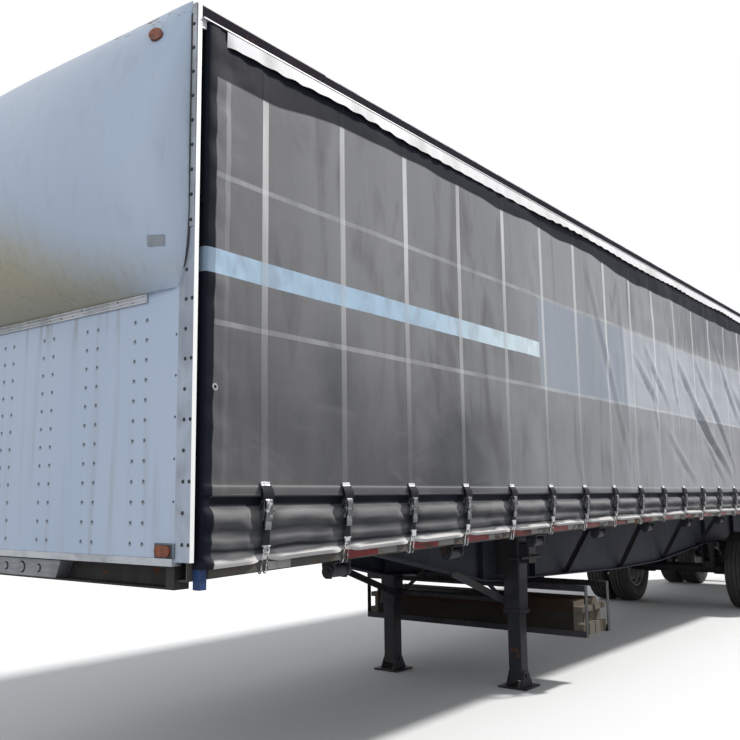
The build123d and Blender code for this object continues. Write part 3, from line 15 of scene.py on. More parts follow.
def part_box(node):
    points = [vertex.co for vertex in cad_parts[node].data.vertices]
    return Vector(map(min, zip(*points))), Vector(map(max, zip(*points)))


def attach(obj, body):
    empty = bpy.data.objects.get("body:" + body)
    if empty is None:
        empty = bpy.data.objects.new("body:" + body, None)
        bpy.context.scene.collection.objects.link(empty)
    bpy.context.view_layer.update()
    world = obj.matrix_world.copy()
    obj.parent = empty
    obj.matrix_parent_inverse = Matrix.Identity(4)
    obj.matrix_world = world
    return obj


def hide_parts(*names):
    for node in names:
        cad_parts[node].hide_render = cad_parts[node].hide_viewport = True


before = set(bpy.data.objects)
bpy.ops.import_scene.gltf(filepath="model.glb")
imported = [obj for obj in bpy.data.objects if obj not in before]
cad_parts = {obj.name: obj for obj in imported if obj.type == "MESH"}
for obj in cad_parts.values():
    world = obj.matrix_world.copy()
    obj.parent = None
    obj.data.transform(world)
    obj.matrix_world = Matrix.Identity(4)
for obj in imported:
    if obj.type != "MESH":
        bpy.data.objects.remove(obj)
log = logging.getLogger("semi_trailer")

Colour = tuple[float, float, float]
Point = tuple[float, float, float]
Socket = bpy.types.NodeSocket
Material = bpy.types.Material
Piece = bpy.types.Object


class Side(Enum):
    """The two long sides of the trailer, with the sign of Y on each."""

    LEFT = 1
    RIGHT = -1

    @property
    def word(self) -> str:
        """The side's name in lower case."""
        return self.name.lower()


class Axis3(Enum):
    """The three axes of the trailer's frame, with their place in a point."""

    ALONG = 0
    ACROSS = 1
    UP = 2


# Sizes that several pieces share


@dataclass(frozen=True)
class TrailerSizes:
    """Sizes of the trailer that the dressing needs, in metres."""

    length: float = 14.630
    half_width: float = 1.2955
    camber: float = 0.100
    strap_first: float = 0.449
    strap_pitch: float = 0.6096
    strap_count: int = 24
    rub_low: float = 1.211
    rub_height: float = 0.076
    curtain_top: float = 3.7775
    curtain_rear: float = 14.600
    hem_top: float = 1.617
    hem_low: float = 1.566

    @property
    def front(self) -> float:
        """X of the front plane."""
        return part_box("front_wall")[1][0]

    @property
    def straps(self) -> list[float]:
        """Stations of the curtain straps."""
        return [self.strap_first + self.strap_pitch * n for n in range(self.strap_count)]

    def x(self, station: float) -> float:
        """X of a station behind the front plane."""
        return self.front - station

    def rise(self, station: float) -> float:
        """Height that the deck's camber adds at a station."""
        half = self.length / 2
        radius = (half**2 + self.camber**2) / (2 * self.camber)
        return math.sqrt(radius**2 - (station - half) ** 2) - radius + self.camber


SIZES = TrailerSizes()


# Material nodes


class Value:
    """A value in a material's node tree, whose arithmetic adds the nodes it needs."""

    def __init__(self, shader: "Shader", socket: Socket) -> None:
        """Keeps a node's output and the material it belongs to."""
        self.shader = shader
        self.socket = socket

    def __add__(self, other: "Value | float") -> "Value":
        """Sum with a value or number."""
        return self.shader.math("ADD", self, other)

    def __radd__(self, other: float) -> "Value":
        """Sum of a number and this value."""
        return self.shader.math("ADD", other, self)

    def __sub__(self, other: "Value | float") -> "Value":
        """What is left when a value or number is taken away."""
        return self.shader.math("SUBTRACT", self, other)

    def __rsub__(self, other: float) -> "Value":
        """What is left of a number when this value is taken away."""
        return self.shader.math("SUBTRACT", other, self)

    def __mul__(self, other: "Value | float") -> "Value":
        """Product with a value or number."""
        return self.shader.math("MULTIPLY", self, other)

    def __rmul__(self, other: float) -> "Value":
        """Product of a number and this value."""
        return self.shader.math("MULTIPLY", other, self)

    def __truediv__(self, other: "Value | float") -> "Value":
        """Share of a value or number."""
        return self.shader.math("DIVIDE", self, other)

    def __abs__(self) -> "Value":
        """The value without its sign."""
        return self.shader.math("ABSOLUTE", self)


class Shader:
    """A material with its node tree, and short calls for the nodes it needs."""

    def __init__(self, name: str, **settings: float | Colour) -> None:
        """Starts a material whose plain shader settings are given by socket name.

        Args:
            name: Name of the material.
            settings: Values for the shader's own sockets, with _ for a space.
        """
        self.material = bpy.data.materials.new(name)
        self.material.use_nodes = True
        self.tree = self.material.node_tree
        self.surface = self.tree.nodes["Principled BSDF"]
        for key, value in settings.items():
            socket = self.surface.inputs[key.replace("_", " ")]
            socket.default_value = (*value, 1.0) if isinstance(value, tuple) else value
        self.place = self.node("ShaderNodeTexCoord").outputs["Object"]
        parts = self.node("ShaderNodeSeparateXYZ")
        self.join(self.place, parts.inputs[0])
        self.axes = {axis: Value(self, parts.outputs[axis.value]) for axis in Axis3}
        if "Base_Color" in settings:
            self.material.diffuse_color = (*settings["Base_Color"], 1.0)

    def node(self, kind: str, **values: object) -> bpy.types.Node:
        """Adds a node of a kind and sets its properties."""
        made = self.tree.nodes.new(kind)
        for key, value in values.items():
            setattr(made, key, value)
        return made

    def join(self, source: object, target: Socket) -> None:
        """Links a value or socket to an input, or writes a plain number or colour into it."""
        if isinstance(source, Value):
            source = source.socket
        if isinstance(source, Socket):
            self.tree.links.new(source, target)
        elif isinstance(source, tuple) and target.type == "RGBA":
            target.default_value = (*source, 1.0)
        else:
            target.default_value = source

    def math(self, kind: str, first: object, second: object = 0.0, clamp: bool = False) -> Value:
        """One step of arithmetic on sockets or numbers.

        Args:
            kind: Name of the operation.
            first: Left value.
            second: Right value.
            clamp: Whether the result stays between 0 and 1.

        Returns:
            The result.
        """
        step = self.node("ShaderNodeMath", operation=kind, use_clamp=clamp)
        self.join(first, step.inputs[0])
        self.join(second, step.inputs[1])
        return Value(self, step.outputs[0])

    def stretched(self, stretch: Point) -> Socket:
        """Place on the object, scaled by axis."""
        mapping = self.node("ShaderNodeMapping")
        self.join(self.place, mapping.inputs["Vector"])
        mapping.inputs["Scale"].default_value = stretch
        return mapping.outputs[0]

    def noise(self, scale: float, stretch: Point = (1, 1, 1), detail: float = 4, warp: float = 0) -> Value:
        """Cloudy pattern from 0 to 1.

        Args:
            scale: Number of clouds to the metre.
            stretch: Factor on the scale by axis.
            detail: Octaves of finer clouds.
            warp: Distortion of the clouds.

        Returns:
            The pattern's value.
        """
        made = self.node("ShaderNodeTexNoise")
        self.join(self.stretched(stretch), made.inputs["Vector"])
        made.inputs["Scale"].default_value = scale
        made.inputs["Detail"].default_value = detail
        made.inputs["Distortion"].default_value = warp
        return Value(self, made.outputs[0])

    def cells(self, scale: float, stretch: Point = (1, 1, 1), feature: str = "F1") -> Value:
        """Distance pattern of scattered cells."""
        made = self.node("ShaderNodeTexVoronoi", feature=feature)
        self.join(self.stretched(stretch), made.inputs["Vector"])
        made.inputs["Scale"].default_value = scale
        return Value(self, made.outputs["Distance"])

    def wave(self, scale: float, axis: Axis3, warp: float = 0.0) -> Value:
        """Even ripples along an axis."""
        made = self.node("ShaderNodeTexWave", bands_direction="XYZ"[axis.value])
        self.join(self.place, made.inputs["Vector"])
        made.inputs["Scale"].default_value = scale
        made.inputs["Distortion"].default_value = warp
        return Value(self, made.outputs["Fac"])

    def fade(self, value: object, low: float, high: float, at_low: float = 0.0, at_high: float = 1.0) -> Value:
        """Smooth step of a value between two limits.

        Args:
            value: What is stepped.
            low: Where the step starts.
            high: Where the step ends.
            at_low: Result below the step.
            at_high: Result above the step.

        Returns:
            The stepped value.
        """
        made = self.node("ShaderNodeMapRange", interpolation_type="SMOOTHSTEP")
        for index, number in enumerate((value, low, high, at_low, at_high)):
            self.join(number, made.inputs[index])
        return Value(self, made.outputs[0])

    def band(self, value: object, low: float, high: float, soft: float) -> Value:
        """One inside two limits and nought outside, with soft edges."""
        rising = self.fade(value, low - soft, low + soft)
        falling = self.fade(value, high - soft, high + soft, 1.0, 0.0)
        return rising * falling

    def mix(self, factor: object, first: object, second: object) -> Value:
        """Blend of two colours."""
        made = self.node("ShaderNodeMix", data_type="RGBA")
        self.join(factor, made.inputs[0])
        self.join(first, made.inputs[6])
        self.join(second, made.inputs[7])
        return Value(self, made.outputs[2])

    def bump(self, height: Value, distance: float, strength: float = 1.0) -> None:
        """Adds relief to the surface, over any relief it has."""
        made = self.node("ShaderNodeBump")
        made.inputs["Distance"].default_value = distance
        made.inputs["Strength"].default_value = strength
        self.join(height, made.inputs["Height"])
        normal = self.surface.inputs["Normal"]
        if normal.is_linked:
            self.join(normal.links[0].from_socket, made.inputs["Normal"])
        self.join(made.outputs[0], normal)

    def paint(self, colour: object, roughness: object = None) -> Material:
        """Links the finished colour and roughness, and gives the material."""
        self.join(colour, self.surface.inputs["Base Color"])
        if roughness is not None:
            self.join(roughness, self.surface.inputs["Roughness"])
        return self.material


# Finishes


@dataclass(frozen=True)
class PaintedSteel:
    """Old paint on steel, with faded clouds, road dirt and rust."""

    name: str
    colour: Colour
    faded: Colour
    rust: float = 0.25
    dirt: float = 0.4
    gloss: float = 0.55
    shine: float = 0.22
    rust_colour: Colour = (0.11, 0.045, 0.02)
    dirt_colour: Colour = (0.085, 0.075, 0.065)

    def material(self) -> Material:
        """Builds the finish."""
        shader = Shader(self.name, Base_Color=self.colour, Metallic=0.0, IOR=1.45, Specular_IOR_Level=self.shine)
        clouds = shader.noise(2.3, detail=6, warp=0.4)
        base = shader.mix(shader.fade(clouds, 0.35, 0.75), self.colour, self.faded)
        spots = shader.noise(9.0, (1, 1, 1), detail=9, warp=0.8)
        rusty = shader.fade(spots, 0.72 - 0.3 * self.rust, 0.86 - 0.3 * self.rust)
        grain = shader.noise(140.0, detail=3)
        rust = shader.mix(grain, self.rust_colour, tuple(1.9 * c for c in self.rust_colour))
        base = shader.mix(rusty, base, rust)
        streaks = shader.noise(7.0, (1, 1, 0.18), detail=5)
        soiled = shader.fade(streaks, 0.42, 0.78) * self.dirt
        base = shader.mix(soiled, base, self.dirt_colour)
        rough = shader.math("ADD", self.gloss, rusty * 0.3, clamp=True)
        shader.bump(rusty, 0.0006, 0.5)
        shader.bump(grain, 0.0002, 0.5)
        return shader.paint(base, rough)


@dataclass(frozen=True)
class WallPaint:
    """White enamel in the blue-grey of painted shade, on the riveted front wall, with a dark ring centred a little
    below each rivet and dirt towards its foot.
    """

    name: str = "wall_enamel"
    # Painted shade: white enamel given, in both tones, the darker blue-grey that white takes in shade.
    colour: Colour = (0.51, 0.60, 0.75)
    light: Colour = (0.58, 0.66, 0.79)
    dust: Colour = (0.36, 0.37, 0.36)

    def material(self) -> Material:
        """Builds the finish."""
        shader = Shader(self.name, Base_Color=self.colour, IOR=1.5, Specular_IOR_Level=0.4)
        up = shader.axes[Axis3.UP]
        clouds = shader.noise(0.9, (1, 1, 0.5), detail=6)
        base = shader.mix(shader.fade(clouds, 0.3, 0.7), self.colour, self.light)
        streaks = shader.noise(16.0, (1, 1, 0.06), detail=8)
        low = shader.fade(up, 1.3, 2.5, 1.0, 0.25)
        soiled = shader.fade(streaks, 0.48, 0.82) * low
        base = shader.mix(soiled * 0.60, base, self.dust)
        runs = shader.fade(streaks, 0.56, 0.74) * shader.fade(up, 2.22, 2.47, 0.0, 0.60)
        base = shader.mix(runs, base, (0.27, 0.26, 0.24))
        specks = shader.fade(shader.cells(30.0), 0.0, 0.12, 1.0, 0.0)
        chips = specks * shader.fade(shader.noise(3.0, detail=2), 0.55, 0.66)
        base = shader.mix(chips * 0.7, base, (0.12, 0.10, 0.09))
        # A dark ring round each rivet, centred a little below it.
        post = FrontWall.post_pitch
        cell = shader.math("FRACT", shader.axes[Axis3.ACROSS] / post)
        across = (cell - 0.5) * post
        off = abs(across) - FrontWall.column_gap
        turn = shader.math("FRACT", (up - FrontWall.rivet_low) / FrontWall.rivet_pitch + 0.5)
        high = (turn - 0.46) * FrontWall.rivet_pitch
        away = shader.math("SQRT", off * off + high * high)
        zone = shader.band(up, FrontWall.rivet_low - 0.04, FrontWall.rivet_low + 11.5 * FrontWall.rivet_pitch, 0.004)
        ring = shader.fade(away, 0.006, 0.017, 0.55, 0.0) * zone
        base = shader.mix(ring, base, (0.16, 0.165, 0.17))
        shader.bump(shader.noise(2.2, (1, 1, 0.3), detail=2), 0.010, 0.35)
        return shader.paint(base, shader.fade(clouds, 0.2, 0.8, 0.32, 0.48))


@dataclass(frozen=True)
class NoseGelcoat:
    """White glass-fibre gelcoat in the blue-grey of painted shade, with painted shade and a yellow-brown stain under
    the bulge, chipped at its crown.
    """

    name: str = "nose_gelcoat"
    # Painted shade: white gelcoat given, in both tones, the darker blue-grey that white takes in shade.
    colour: Colour = (0.515, 0.605, 0.735)
    light: Colour = (0.585, 0.655, 0.765)
    stain: Colour = (0.47, 0.43, 0.30)
    grime: Colour = (0.30, 0.29, 0.245)
    stain_shade_half: float = 1.22
    stain_shade_high: float = 3.02
    stain_shade_foot: float = 2.60

    def material(self) -> Material:
        """Builds the finish."""
        shader = Shader(self.name, Base_Color=self.colour, IOR=1.48, Specular_IOR_Level=0.35)
        up = shader.axes[Axis3.UP]
        clouds = shader.noise(1.1, (1, 1, 0.7), detail=7, warp=0.3)
        base = shader.mix(shader.fade(clouds, 0.3, 0.75), self.colour, self.light)
        # Painted shade and a yellow-brown stain: the bulge's lower part is darkened and yellowed.
        across = abs(shader.axes[Axis3.ACROSS])
        taper = shader.fade(across, 0.05, self.stain_shade_half, 1.0, 0.0)
        drips = shader.noise(15.0, (1, 1, 0.22), detail=8, warp=0.5)
        wander = (clouds - 0.5) * 0.42
        ragged = wander + (drips - 0.5) * 0.16
        top = taper * (self.stain_shade_high - self.stain_shade_foot) + self.stain_shade_foot
        depth = top + ragged - up
        stained_shaded = shader.fade(depth, -0.14, 0.36, 0.0, 0.92)
        foot = shader.fade(up, 2.505, 2.60, 0.0, 1.0) * shader.fade(across, 0.75, 1.2, 0.0, 1.0)
        clear = 1.0 - (1.0 - foot) * shader.fade(across, 0.9, 1.15)
        base = shader.mix(stained_shaded * clear, base, self.stain)
        speckle = shader.fade(shader.noise(38.0, (1, 1, 0.5), detail=6), 0.50, 0.72, 0.0, 0.45)
        base = shader.mix(stained_shaded * speckle, base, self.grime)
        thin = shader.fade(drips, 0.50, 0.80) * 0.16
        base = shader.mix(thin, base, self.grime)
        chips = shader.fade(shader.noise(13.0, (1, 1, 3.2), detail=8, warp=1.2), 0.60, 0.64)
        crown = shader.band(up, 3.76, 3.85, 0.012)
        base = shader.mix(chips * crown, base, (0.07, 0.05, 0.04))
        shader.bump(shader.noise(2.0, detail=2), 0.012, 0.25)
        shader.bump(shader.noise(70.0, detail=3), 0.0003, 0.3)
        return shader.paint(base, shader.fade(depth, 0.0, 0.4, 0.36, 0.58))


@dataclass(frozen=True)
class Aluminium:
    """Mill-finish aluminium, dulled, with fine scratches along one axis, and a near-white painted highlight on its
    outer edge where one is asked for.
    """

    name: str
    colour: Colour = (0.52, 0.53, 0.55)
    along: Axis3 = Axis3.UP
    dull: float = 0.42
    metallic: float = 0.85
    highlight_from: float | None = None

    def material(self) -> Material:
        """Builds the finish."""
        shader = Shader(self.name, Base_Color=self.colour, Metallic=self.metallic)
        stretch = [1.0, 1.0, 1.0]
        stretch[self.along.value] = 0.04
        scratches = shader.noise(160.0, tuple(stretch), detail=3)
        clouds = shader.noise(5.0, detail=6, warp=0.5)
        dark = tuple(0.6 * c for c in self.colour)
        base = shader.mix(shader.fade(clouds, 0.35, 0.7), self.colour, dark)
        base = shader.mix(scratches * 0.3, base, (0.85, 0.86, 0.88))
        # Painted highlight: past the given width across, the outer edge is made near white.
        if self.highlight_from is not None:
            outer = shader.fade(abs(shader.axes[Axis3.ACROSS]), self.highlight_from, self.highlight_from + 0.0015)
            base = shader.mix(outer * 0.9, base, (0.92, 0.92, 0.91))
        shader.bump(scratches, 0.0002, 0.4)
        return shader.paint(base, shader.fade(clouds, 0.2, 0.8, self.dull, self.dull + 0.2))


@dataclass(frozen=True)
class Zinc:
    """Zinc-plated steel, bright where it is handled and black with dirt elsewhere."""

    name: str = "zinc_plate"
    colour: Colour = (0.50, 0.50, 0.51)
    soot: Colour = (0.05, 0.05, 0.055)
    worn: float = 0.5

    def material(self) -> Material:
        """Builds the finish."""
        shader = Shader(self.name, Base_Color=self.colour, Metallic=0.8)
        spangle = shader.cells(180.0)
        clouds = shader.noise(35.0, detail=6, warp=0.6)
        base = shader.mix(spangle, self.colour, (0.64, 0.65, 0.67))
        dark = shader.fade(clouds, 0.62 - 0.25 * self.worn, 0.80 - 0.25 * self.worn)
        base = shader.mix(dark * 0.85, base, self.soot)
        shader.bump(clouds, 0.0004, 0.5)
        return shader.paint(base, shader.fade(clouds, 0.3, 0.7, 0.28, 0.62))


@dataclass(frozen=True)
class CurtainCloth:
    """Coated curtain cloth, with sewn webbing, welded seams, a stripe and a faded field."""

    name: str
    grey: Colour = (0.082, 0.083, 0.090)
    weathered: Colour = (0.150, 0.149, 0.153)
    sunned: Colour = (0.272, 0.272, 0.283)
    bleached: Colour = (0.405, 0.410, 0.430)
    # Near-black tone of the painted shade.
    black: Colour = (0.008, 0.0095, 0.017)
    webbing: Colour = (0.84, 0.835, 0.83)
    stripe: Colour = (0.45, 0.60, 0.75)
    stripe_pale: Colour = (0.74, 0.86, 0.92)
    field_colour: Colour = (0.35, 0.385, 0.44)
    # Pale tone of dust, also used for painted highlight on the skirt.
    dust: Colour = (0.64, 0.62, 0.61)
    seams: tuple[float, ...] = (3.045, 2.348)
    seam_half: float = 0.013
    strap_half: float = 0.0215
    stripe_low: float = 2.573
    stripe_high: float = 2.689
    field_front: float = 3.410
    shade_low: float = 3.552
    skirt_top: float = 1.520
    skirt_foot: float = 1.252
    hole: tuple[float, float] = (0.128, 2.052)

    def ground(self, shader: Shader, up: Value, station: Value) -> Value:
        """The cloth's own colour, sunned towards its top and rear, with smears and a duller rear top."""
        clouds = shader.noise(0.9, (1, 1, 0.7), detail=8, warp=0.5)
        base = shader.mix(shader.fade(clouds, 0.32, 0.70), self.grey, self.weathered)
        offset = (clouds - 0.5) * 1.4
        height = up + offset
        base = shader.mix(shader.fade(height, 1.7, 2.9, 0.0, 0.88), base, self.sunned)
        rear = station + offset * 2.0
        base = shader.mix(shader.fade(rear, 1.4, 4.5, 0.0, 0.60), base, self.bleached)
        base = shader.mix(shader.fade(station, 0.30, 1.00, 0.45, 0.0), base, (0.115, 0.114, 0.118))
        smears = shader.fade(shader.noise(5.0, (1, 1, 0.25), detail=8, warp=1.0), 0.48, 0.78, 0.0, 0.50)
        base = shader.mix(smears, base, (0.085, 0.082, 0.082))
        rubs = shader.fade(shader.noise(3.0, (0.6, 1, 1.6), detail=8, warp=1.4), 0.56, 0.84, 0.0, 0.32)
        base = shader.mix(rubs, base, (0.29, 0.285, 0.28))
        pale = shader.fade(station, 4.98, 5.16) * shader.fade(clouds, 0.25, 0.65, 0.15, 0.45)
        pale = pale * shader.fade(up, 3.00, 3.12, 1.0, 0.0)
        base = shader.mix(pale, base, (0.43, 0.44, 0.47))
        shaded = shader.fade(station, 6.0, 8.0) * shader.fade(up, 3.02, 3.3, 0.0, 0.5)
        return shader.mix(shaded, base, (0.15, 0.155, 0.18))

    def printed(self, shader: Shader, up: Value, station: Value, base: Value) -> Value:
        """The paler field between the two seams, in one even tone."""
        inside = shader.band(up, self.seams[1] - 0.006, self.seams[0] - 0.008, 0.004)
        ends = shader.band(station, self.field_front, 12.9, 0.005)
        worn = shader.fade(shader.noise(1.7, (1, 1, 0.6), detail=7), 0.3, 0.7, 0.62, 0.92)
        field_here = inside * ends * worn
        pale = shader.fade(station, 4.98, 5.16, 0.0, 0.65)
        colour = shader.mix(pale, self.field_colour, (0.60, 0.62, 0.66))
        return shader.mix(field_here, base, colour)

    def sewn(self, shader: Shader, up: Value, station: Value, base: Value) -> tuple[Value, Value]:
        """The upright webbing and the welded seams.

        Args:
            shader: The material in the making.
            up: Height.
            station: Distance behind the front plane.
            base: Colour so far.

        Returns:
            The colour, and the webbing's mask.
        """
        shift = station - (SIZES.strap_first - 0.5 * SIZES.strap_pitch)
        cell = shader.math("FRACT", shift / SIZES.strap_pitch)
        off = abs((cell - 0.5) * SIZES.strap_pitch)
        strap = shader.fade(off, self.strap_half - 0.0015, self.strap_half + 0.0015, 1.0, 0.0)
        strap = strap * shader.fade(up, SIZES.hem_top - 0.006, SIZES.hem_top)
        rub = shader.fade(shader.noise(4.0, (1, 1, 0.2), detail=6), 0.25, 0.75, 0.35, 0.95)
        high = shader.fade(up, 1.7, 3.5, 0.10, 0.92)
        base = shader.mix(strap * rub * high, base, self.webbing)
        stitches = shader.fade(shader.wave(34.0, Axis3.ALONG), 0.2, 0.8, 0.55, 1.0)
        for seam in self.seams:
            line = shader.band(up, seam - self.seam_half, seam + self.seam_half, 0.002)
            amount = line * stitches * shader.fade(rub, 0.35, 0.95, 0.14, 0.34)
            base = shader.mix(amount, base, self.webbing)
        pleat = shader.band(station, 0.176, 0.206, 0.003)
        base = shader.mix(pleat * shader.fade(up, 2.2, 3.4, 0.03, 0.20), base, self.webbing)
        return base, strap

    def striped(self, shader: Shader, up: Value, station: Value, base: Value, strap: Value) -> Value:
        """The pale blue stripe, worn where the webbing lies under it."""
        inside = shader.band(up, self.stripe_low, self.stripe_high, 0.0018)
        ends = shader.fade(station, self.field_front, self.field_front + 0.005, 1.0, 0.0)
        worn = shader.fade(shader.noise(9.0, (1, 1, 0.5), detail=8, warp=0.6), 0.30, 0.66, 0.66, 1.0)
        thin = shader.fade(strap, 0.0, 1.0, 1.0, 0.72)
        pale = shader.fade(station, 1.5, 3.3)
        colour = shader.mix(pale, self.stripe, self.stripe_pale)
        amount = inside * ends * (worn * thin)
        return shader.mix(amount, base, colour)

    def hemmed(self, shader: Shader, up: Value, station: Value, base: Value) -> Value:
        """The hem and its seams, and the skirt with painted shade in its fold and creases, painted highlight on its
        crests and bottom fold, and dust.
        """
        hem = shader.band(up, SIZES.hem_low - 0.004, SIZES.hem_top, 0.002)
        base = shader.mix(hem * 0.40, base, (0.13, 0.128, 0.128))
        for height in (SIZES.hem_top - 0.007, SIZES.hem_low + 0.006):
            line = shader.band(up, height - 0.003, height + 0.003, 0.002)
            base = shader.mix(line * 0.50, base, (0.33, 0.33, 0.33))
        share = (station - SIZES.length / 2) / (SIZES.length / 2)
        bowed = (1.0 - share * share) * SIZES.camber
        level = up - bowed
        skirt = shader.fade(up, self.skirt_top - 0.004, self.skirt_top + 0.004, 1.0, 0.0)
        smeared = shader.fade(shader.noise(6.0, (0.35, 1, 1.5), detail=8, warp=0.8), 0.35, 0.75)
        cloth = shader.mix(smeared, (0.060, 0.061, 0.067), (0.150, 0.149, 0.152))
        base = shader.mix(skirt * 0.94, base, cloth)
        fall = self.skirt_top - self.skirt_foot - bowed
        share = (self.skirt_top - up) / fall
        drift = (shader.noise(1.6, (1, 1, 0.4), detail=3) - 0.5) * 0.36
        share = share + drift
        # Painted shade in the skirt's creases and painted highlight on its crests: start, end, softness, amount and
        # tone
        bands = (
            (0.38, 0.46, 0.06, 0.45, self.black),
            (0.74, 0.80, 0.035, 0.85, self.black),
            (0.08, 0.26, 0.07, 0.24, self.dust),
            (0.56, 0.62, 0.05, 0.12, self.dust),
        )
        for low, high, soft, amount, tone in bands:
            crease = shader.band(share, low, high, soft) * amount
            base = shader.mix(crease * skirt, base, tone)
        # Painted shade: the fold under the hem is made near black.
        gap = shader.band(up, self.skirt_top, SIZES.hem_low - 0.003, 0.003)
        base = shader.mix(gap * 0.97, base, self.black)
        # Painted highlight and dust: the skirt's bottom fold on the rail is made pale.
        edge = level + (smeared - 0.5) * 0.018
        return shader.mix(shader.fade(edge, 1.270, 1.286, 0.92, 0.0), base, self.dust)

    def shaded_edges(self, shader: Shader, up: Value, station: Value, base: Value) -> Value:
        """Shade painted under the valance and down the front corner, dark in any light, and one small hole."""
        swing = shader.noise(0.85, (1, 0, 0), detail=2)
        limit = up + (swing - 0.5) * 0.16
        limit = limit + shader.fade(station, 3.2, 6.5, 0.0, 0.065)
        limit = limit + shader.fade(station, 0.0, 1.5, 0.030, -0.040)
        top = shader.fade(limit, self.shade_low - 0.007, self.shade_low + 0.007, 0.0, 0.985)
        crossed = shader.fade(shader.band(up, self.stripe_low, self.stripe_high, 0.0018), 0.0, 1.0, 1.0, 0.35)
        front = shader.fade(station, 0.112, 0.122, 0.985, 0.0) * crossed
        base = shader.mix(shader.math("MAXIMUM", top, front), base, self.black)
        across = station - self.hole[0]
        above = up - self.hole[1]
        away = shader.math("SQRT", across * across + above * above)
        base = shader.mix(shader.band(away, 0.008, 0.017, 0.002), base, (0.42, 0.42, 0.44))
        return shader.mix(shader.fade(away, 0.006, 0.009, 1.0, 0.0), base, (0.010, 0.010, 0.012))

    def material(self) -> Material:
        """Builds the finish."""
        shader = Shader(self.name, Base_Color=self.grey, Specular_IOR_Level=0.05)
        up = shader.axes[Axis3.UP]
        station = SIZES.front - shader.axes[Axis3.ALONG]
        base = self.ground(shader, up, station)
        base = self.printed(shader, up, station, base)
        base, strap = self.sewn(shader, up, station, base)
        base = self.striped(shader, up, station, base, strap)
        base = self.hemmed(shader, up, station, base)
        base = self.shaded_edges(shader, up, station, base)
        weave = shader.wave(620.0, Axis3.ALONG) + shader.wave(620.0, Axis3.UP)
        shader.bump(shader.noise(13.0, (1, 1, 0.5), detail=5), 0.0035, 0.60)
        shader.bump(strap, 0.0015, 0.8)
        shader.bump(weave, 0.00015, 0.25)
        return shader.paint(base, shader.fade(shader.noise(2.0, detail=4), 0.3, 0.7, 0.48, 0.66))


@dataclass(frozen=True)
class PlainCloth:
    """Coated cloth or webbing of one colour, with its weave and dirt."""

    name: str
    colour: Colour
    soiled: Colour
    weave: float = 900.0
    scale: float = 7.0

    def material(self) -> Material:
        """Builds the finish."""
        shader = Shader(self.name, Base_Color=self.colour, Specular_IOR_Level=0.10)
        clouds = shader.noise(self.scale, (1, 1, 0.5), detail=6, warp=0.4)
        base = shader.mix(shader.fade(clouds, 0.45, 0.8), self.colour, self.soiled)
        threads = shader.wave(self.weave, Axis3.ALONG) + shader.wave(self.weave, Axis3.UP)
        shader.bump(shader.noise(40.0, detail=3), 0.0008, 0.4)
        shader.bump(threads, 0.0002, 0.4)
        return shader.paint(base, shader.fade(clouds, 0.2, 0.8, 0.55, 0.75))


@dataclass(frozen=True)
class SawnTimber:
    """Rough timber lying across the trailer, each piece of its own tone, darkened as painted shade, with a painted
    highlight on its sawn ends.
    """

    name: str = "sawn_timber"
    # Painted shade: all three tones are much darker than sawn timber.
    pale: Colour = (0.047, 0.038, 0.030)
    red: Colour = (0.037, 0.022, 0.016)
    grey: Colour = (0.024, 0.023, 0.022)

    def material(self) -> Material:
        """Builds the finish."""
        shader = Shader(self.name, Base_Color=self.pale, Specular_IOR_Level=0.08)
        up = shader.axes[Axis3.UP]
        boards = shader.fade(up, 0.588, 0.592)
        clouds = shader.noise(3.0, (1, 0.4, 1), detail=5)
        base = shader.mix(shader.fade(clouds, 0.3, 0.7), self.grey, self.pale)
        base = shader.mix(boards, base, shader.mix(clouds, self.red, tuple(1.4 * c for c in self.red)))
        grain = shader.noise(120.0, (1, 0.025, 1), detail=5, warp=0.6)
        base = shader.mix(shader.fade(grain, 0.45, 0.7, 0.0, 0.55), base, (0.026, 0.020, 0.015))
        # Painted highlight on the sawn ends.
        across = abs(shader.axes[Axis3.ACROSS])
        ends = shader.fade(across, 1.003, 1.008)
        base = shader.mix(ends * 0.5, base, (0.27, 0.24, 0.19))
        shader.bump(grain, 0.0015, 0.6)
        return shader.paint(base, shader.fade(grain, 0.3, 0.7, 0.75, 0.92))


@dataclass(frozen=True)
class DeckBoards:
    """Hardwood deck boards that run along the trailer."""

    name: str = "deck_boards"
    colour: Colour = (0.15, 0.105, 0.07)
    worn: Colour = (0.24, 0.20, 0.16)

    def material(self) -> Material:
        """Builds the finish."""
        shader = Shader(self.name, Base_Color=self.colour)
        grain = shader.noise(90.0, (0.03, 1, 1), detail=6, warp=0.5)
        clouds = shader.noise(1.4, (0.5, 1, 1), detail=6)
        base = shader.mix(shader.fade(clouds, 0.3, 0.7), self.colour, self.worn)
        base = shader.mix(shader.fade(grain, 0.45, 0.75, 0.0, 0.5), base, (0.06, 0.042, 0.03))
        shader.bump(grain, 0.001, 0.6)
        return shader.paint(base, shader.fade(grain, 0.3, 0.7, 0.7, 0.88))


@dataclass(frozen=True)
class TyreRubber:
    """Road tyre rubber, greyed by dust."""

    name: str = "tyre_rubber"
    colour: Colour = (0.022, 0.022, 0.023)
    dust: Colour = (0.105, 0.098, 0.088)

    def material(self) -> Material:
        """Builds the finish."""
        shader = Shader(self.name, Base_Color=self.colour)
        clouds = shader.noise(6.0, detail=7, warp=0.5)
        base = shader.mix(shader.fade(clouds, 0.35, 0.8, 0.12, 0.6), self.colour, self.dust)
        shader.bump(shader.noise(220.0, detail=3), 0.0005, 0.5)
        return shader.paint(base, shader.fade(clouds, 0.2, 0.8, 0.62, 0.85))


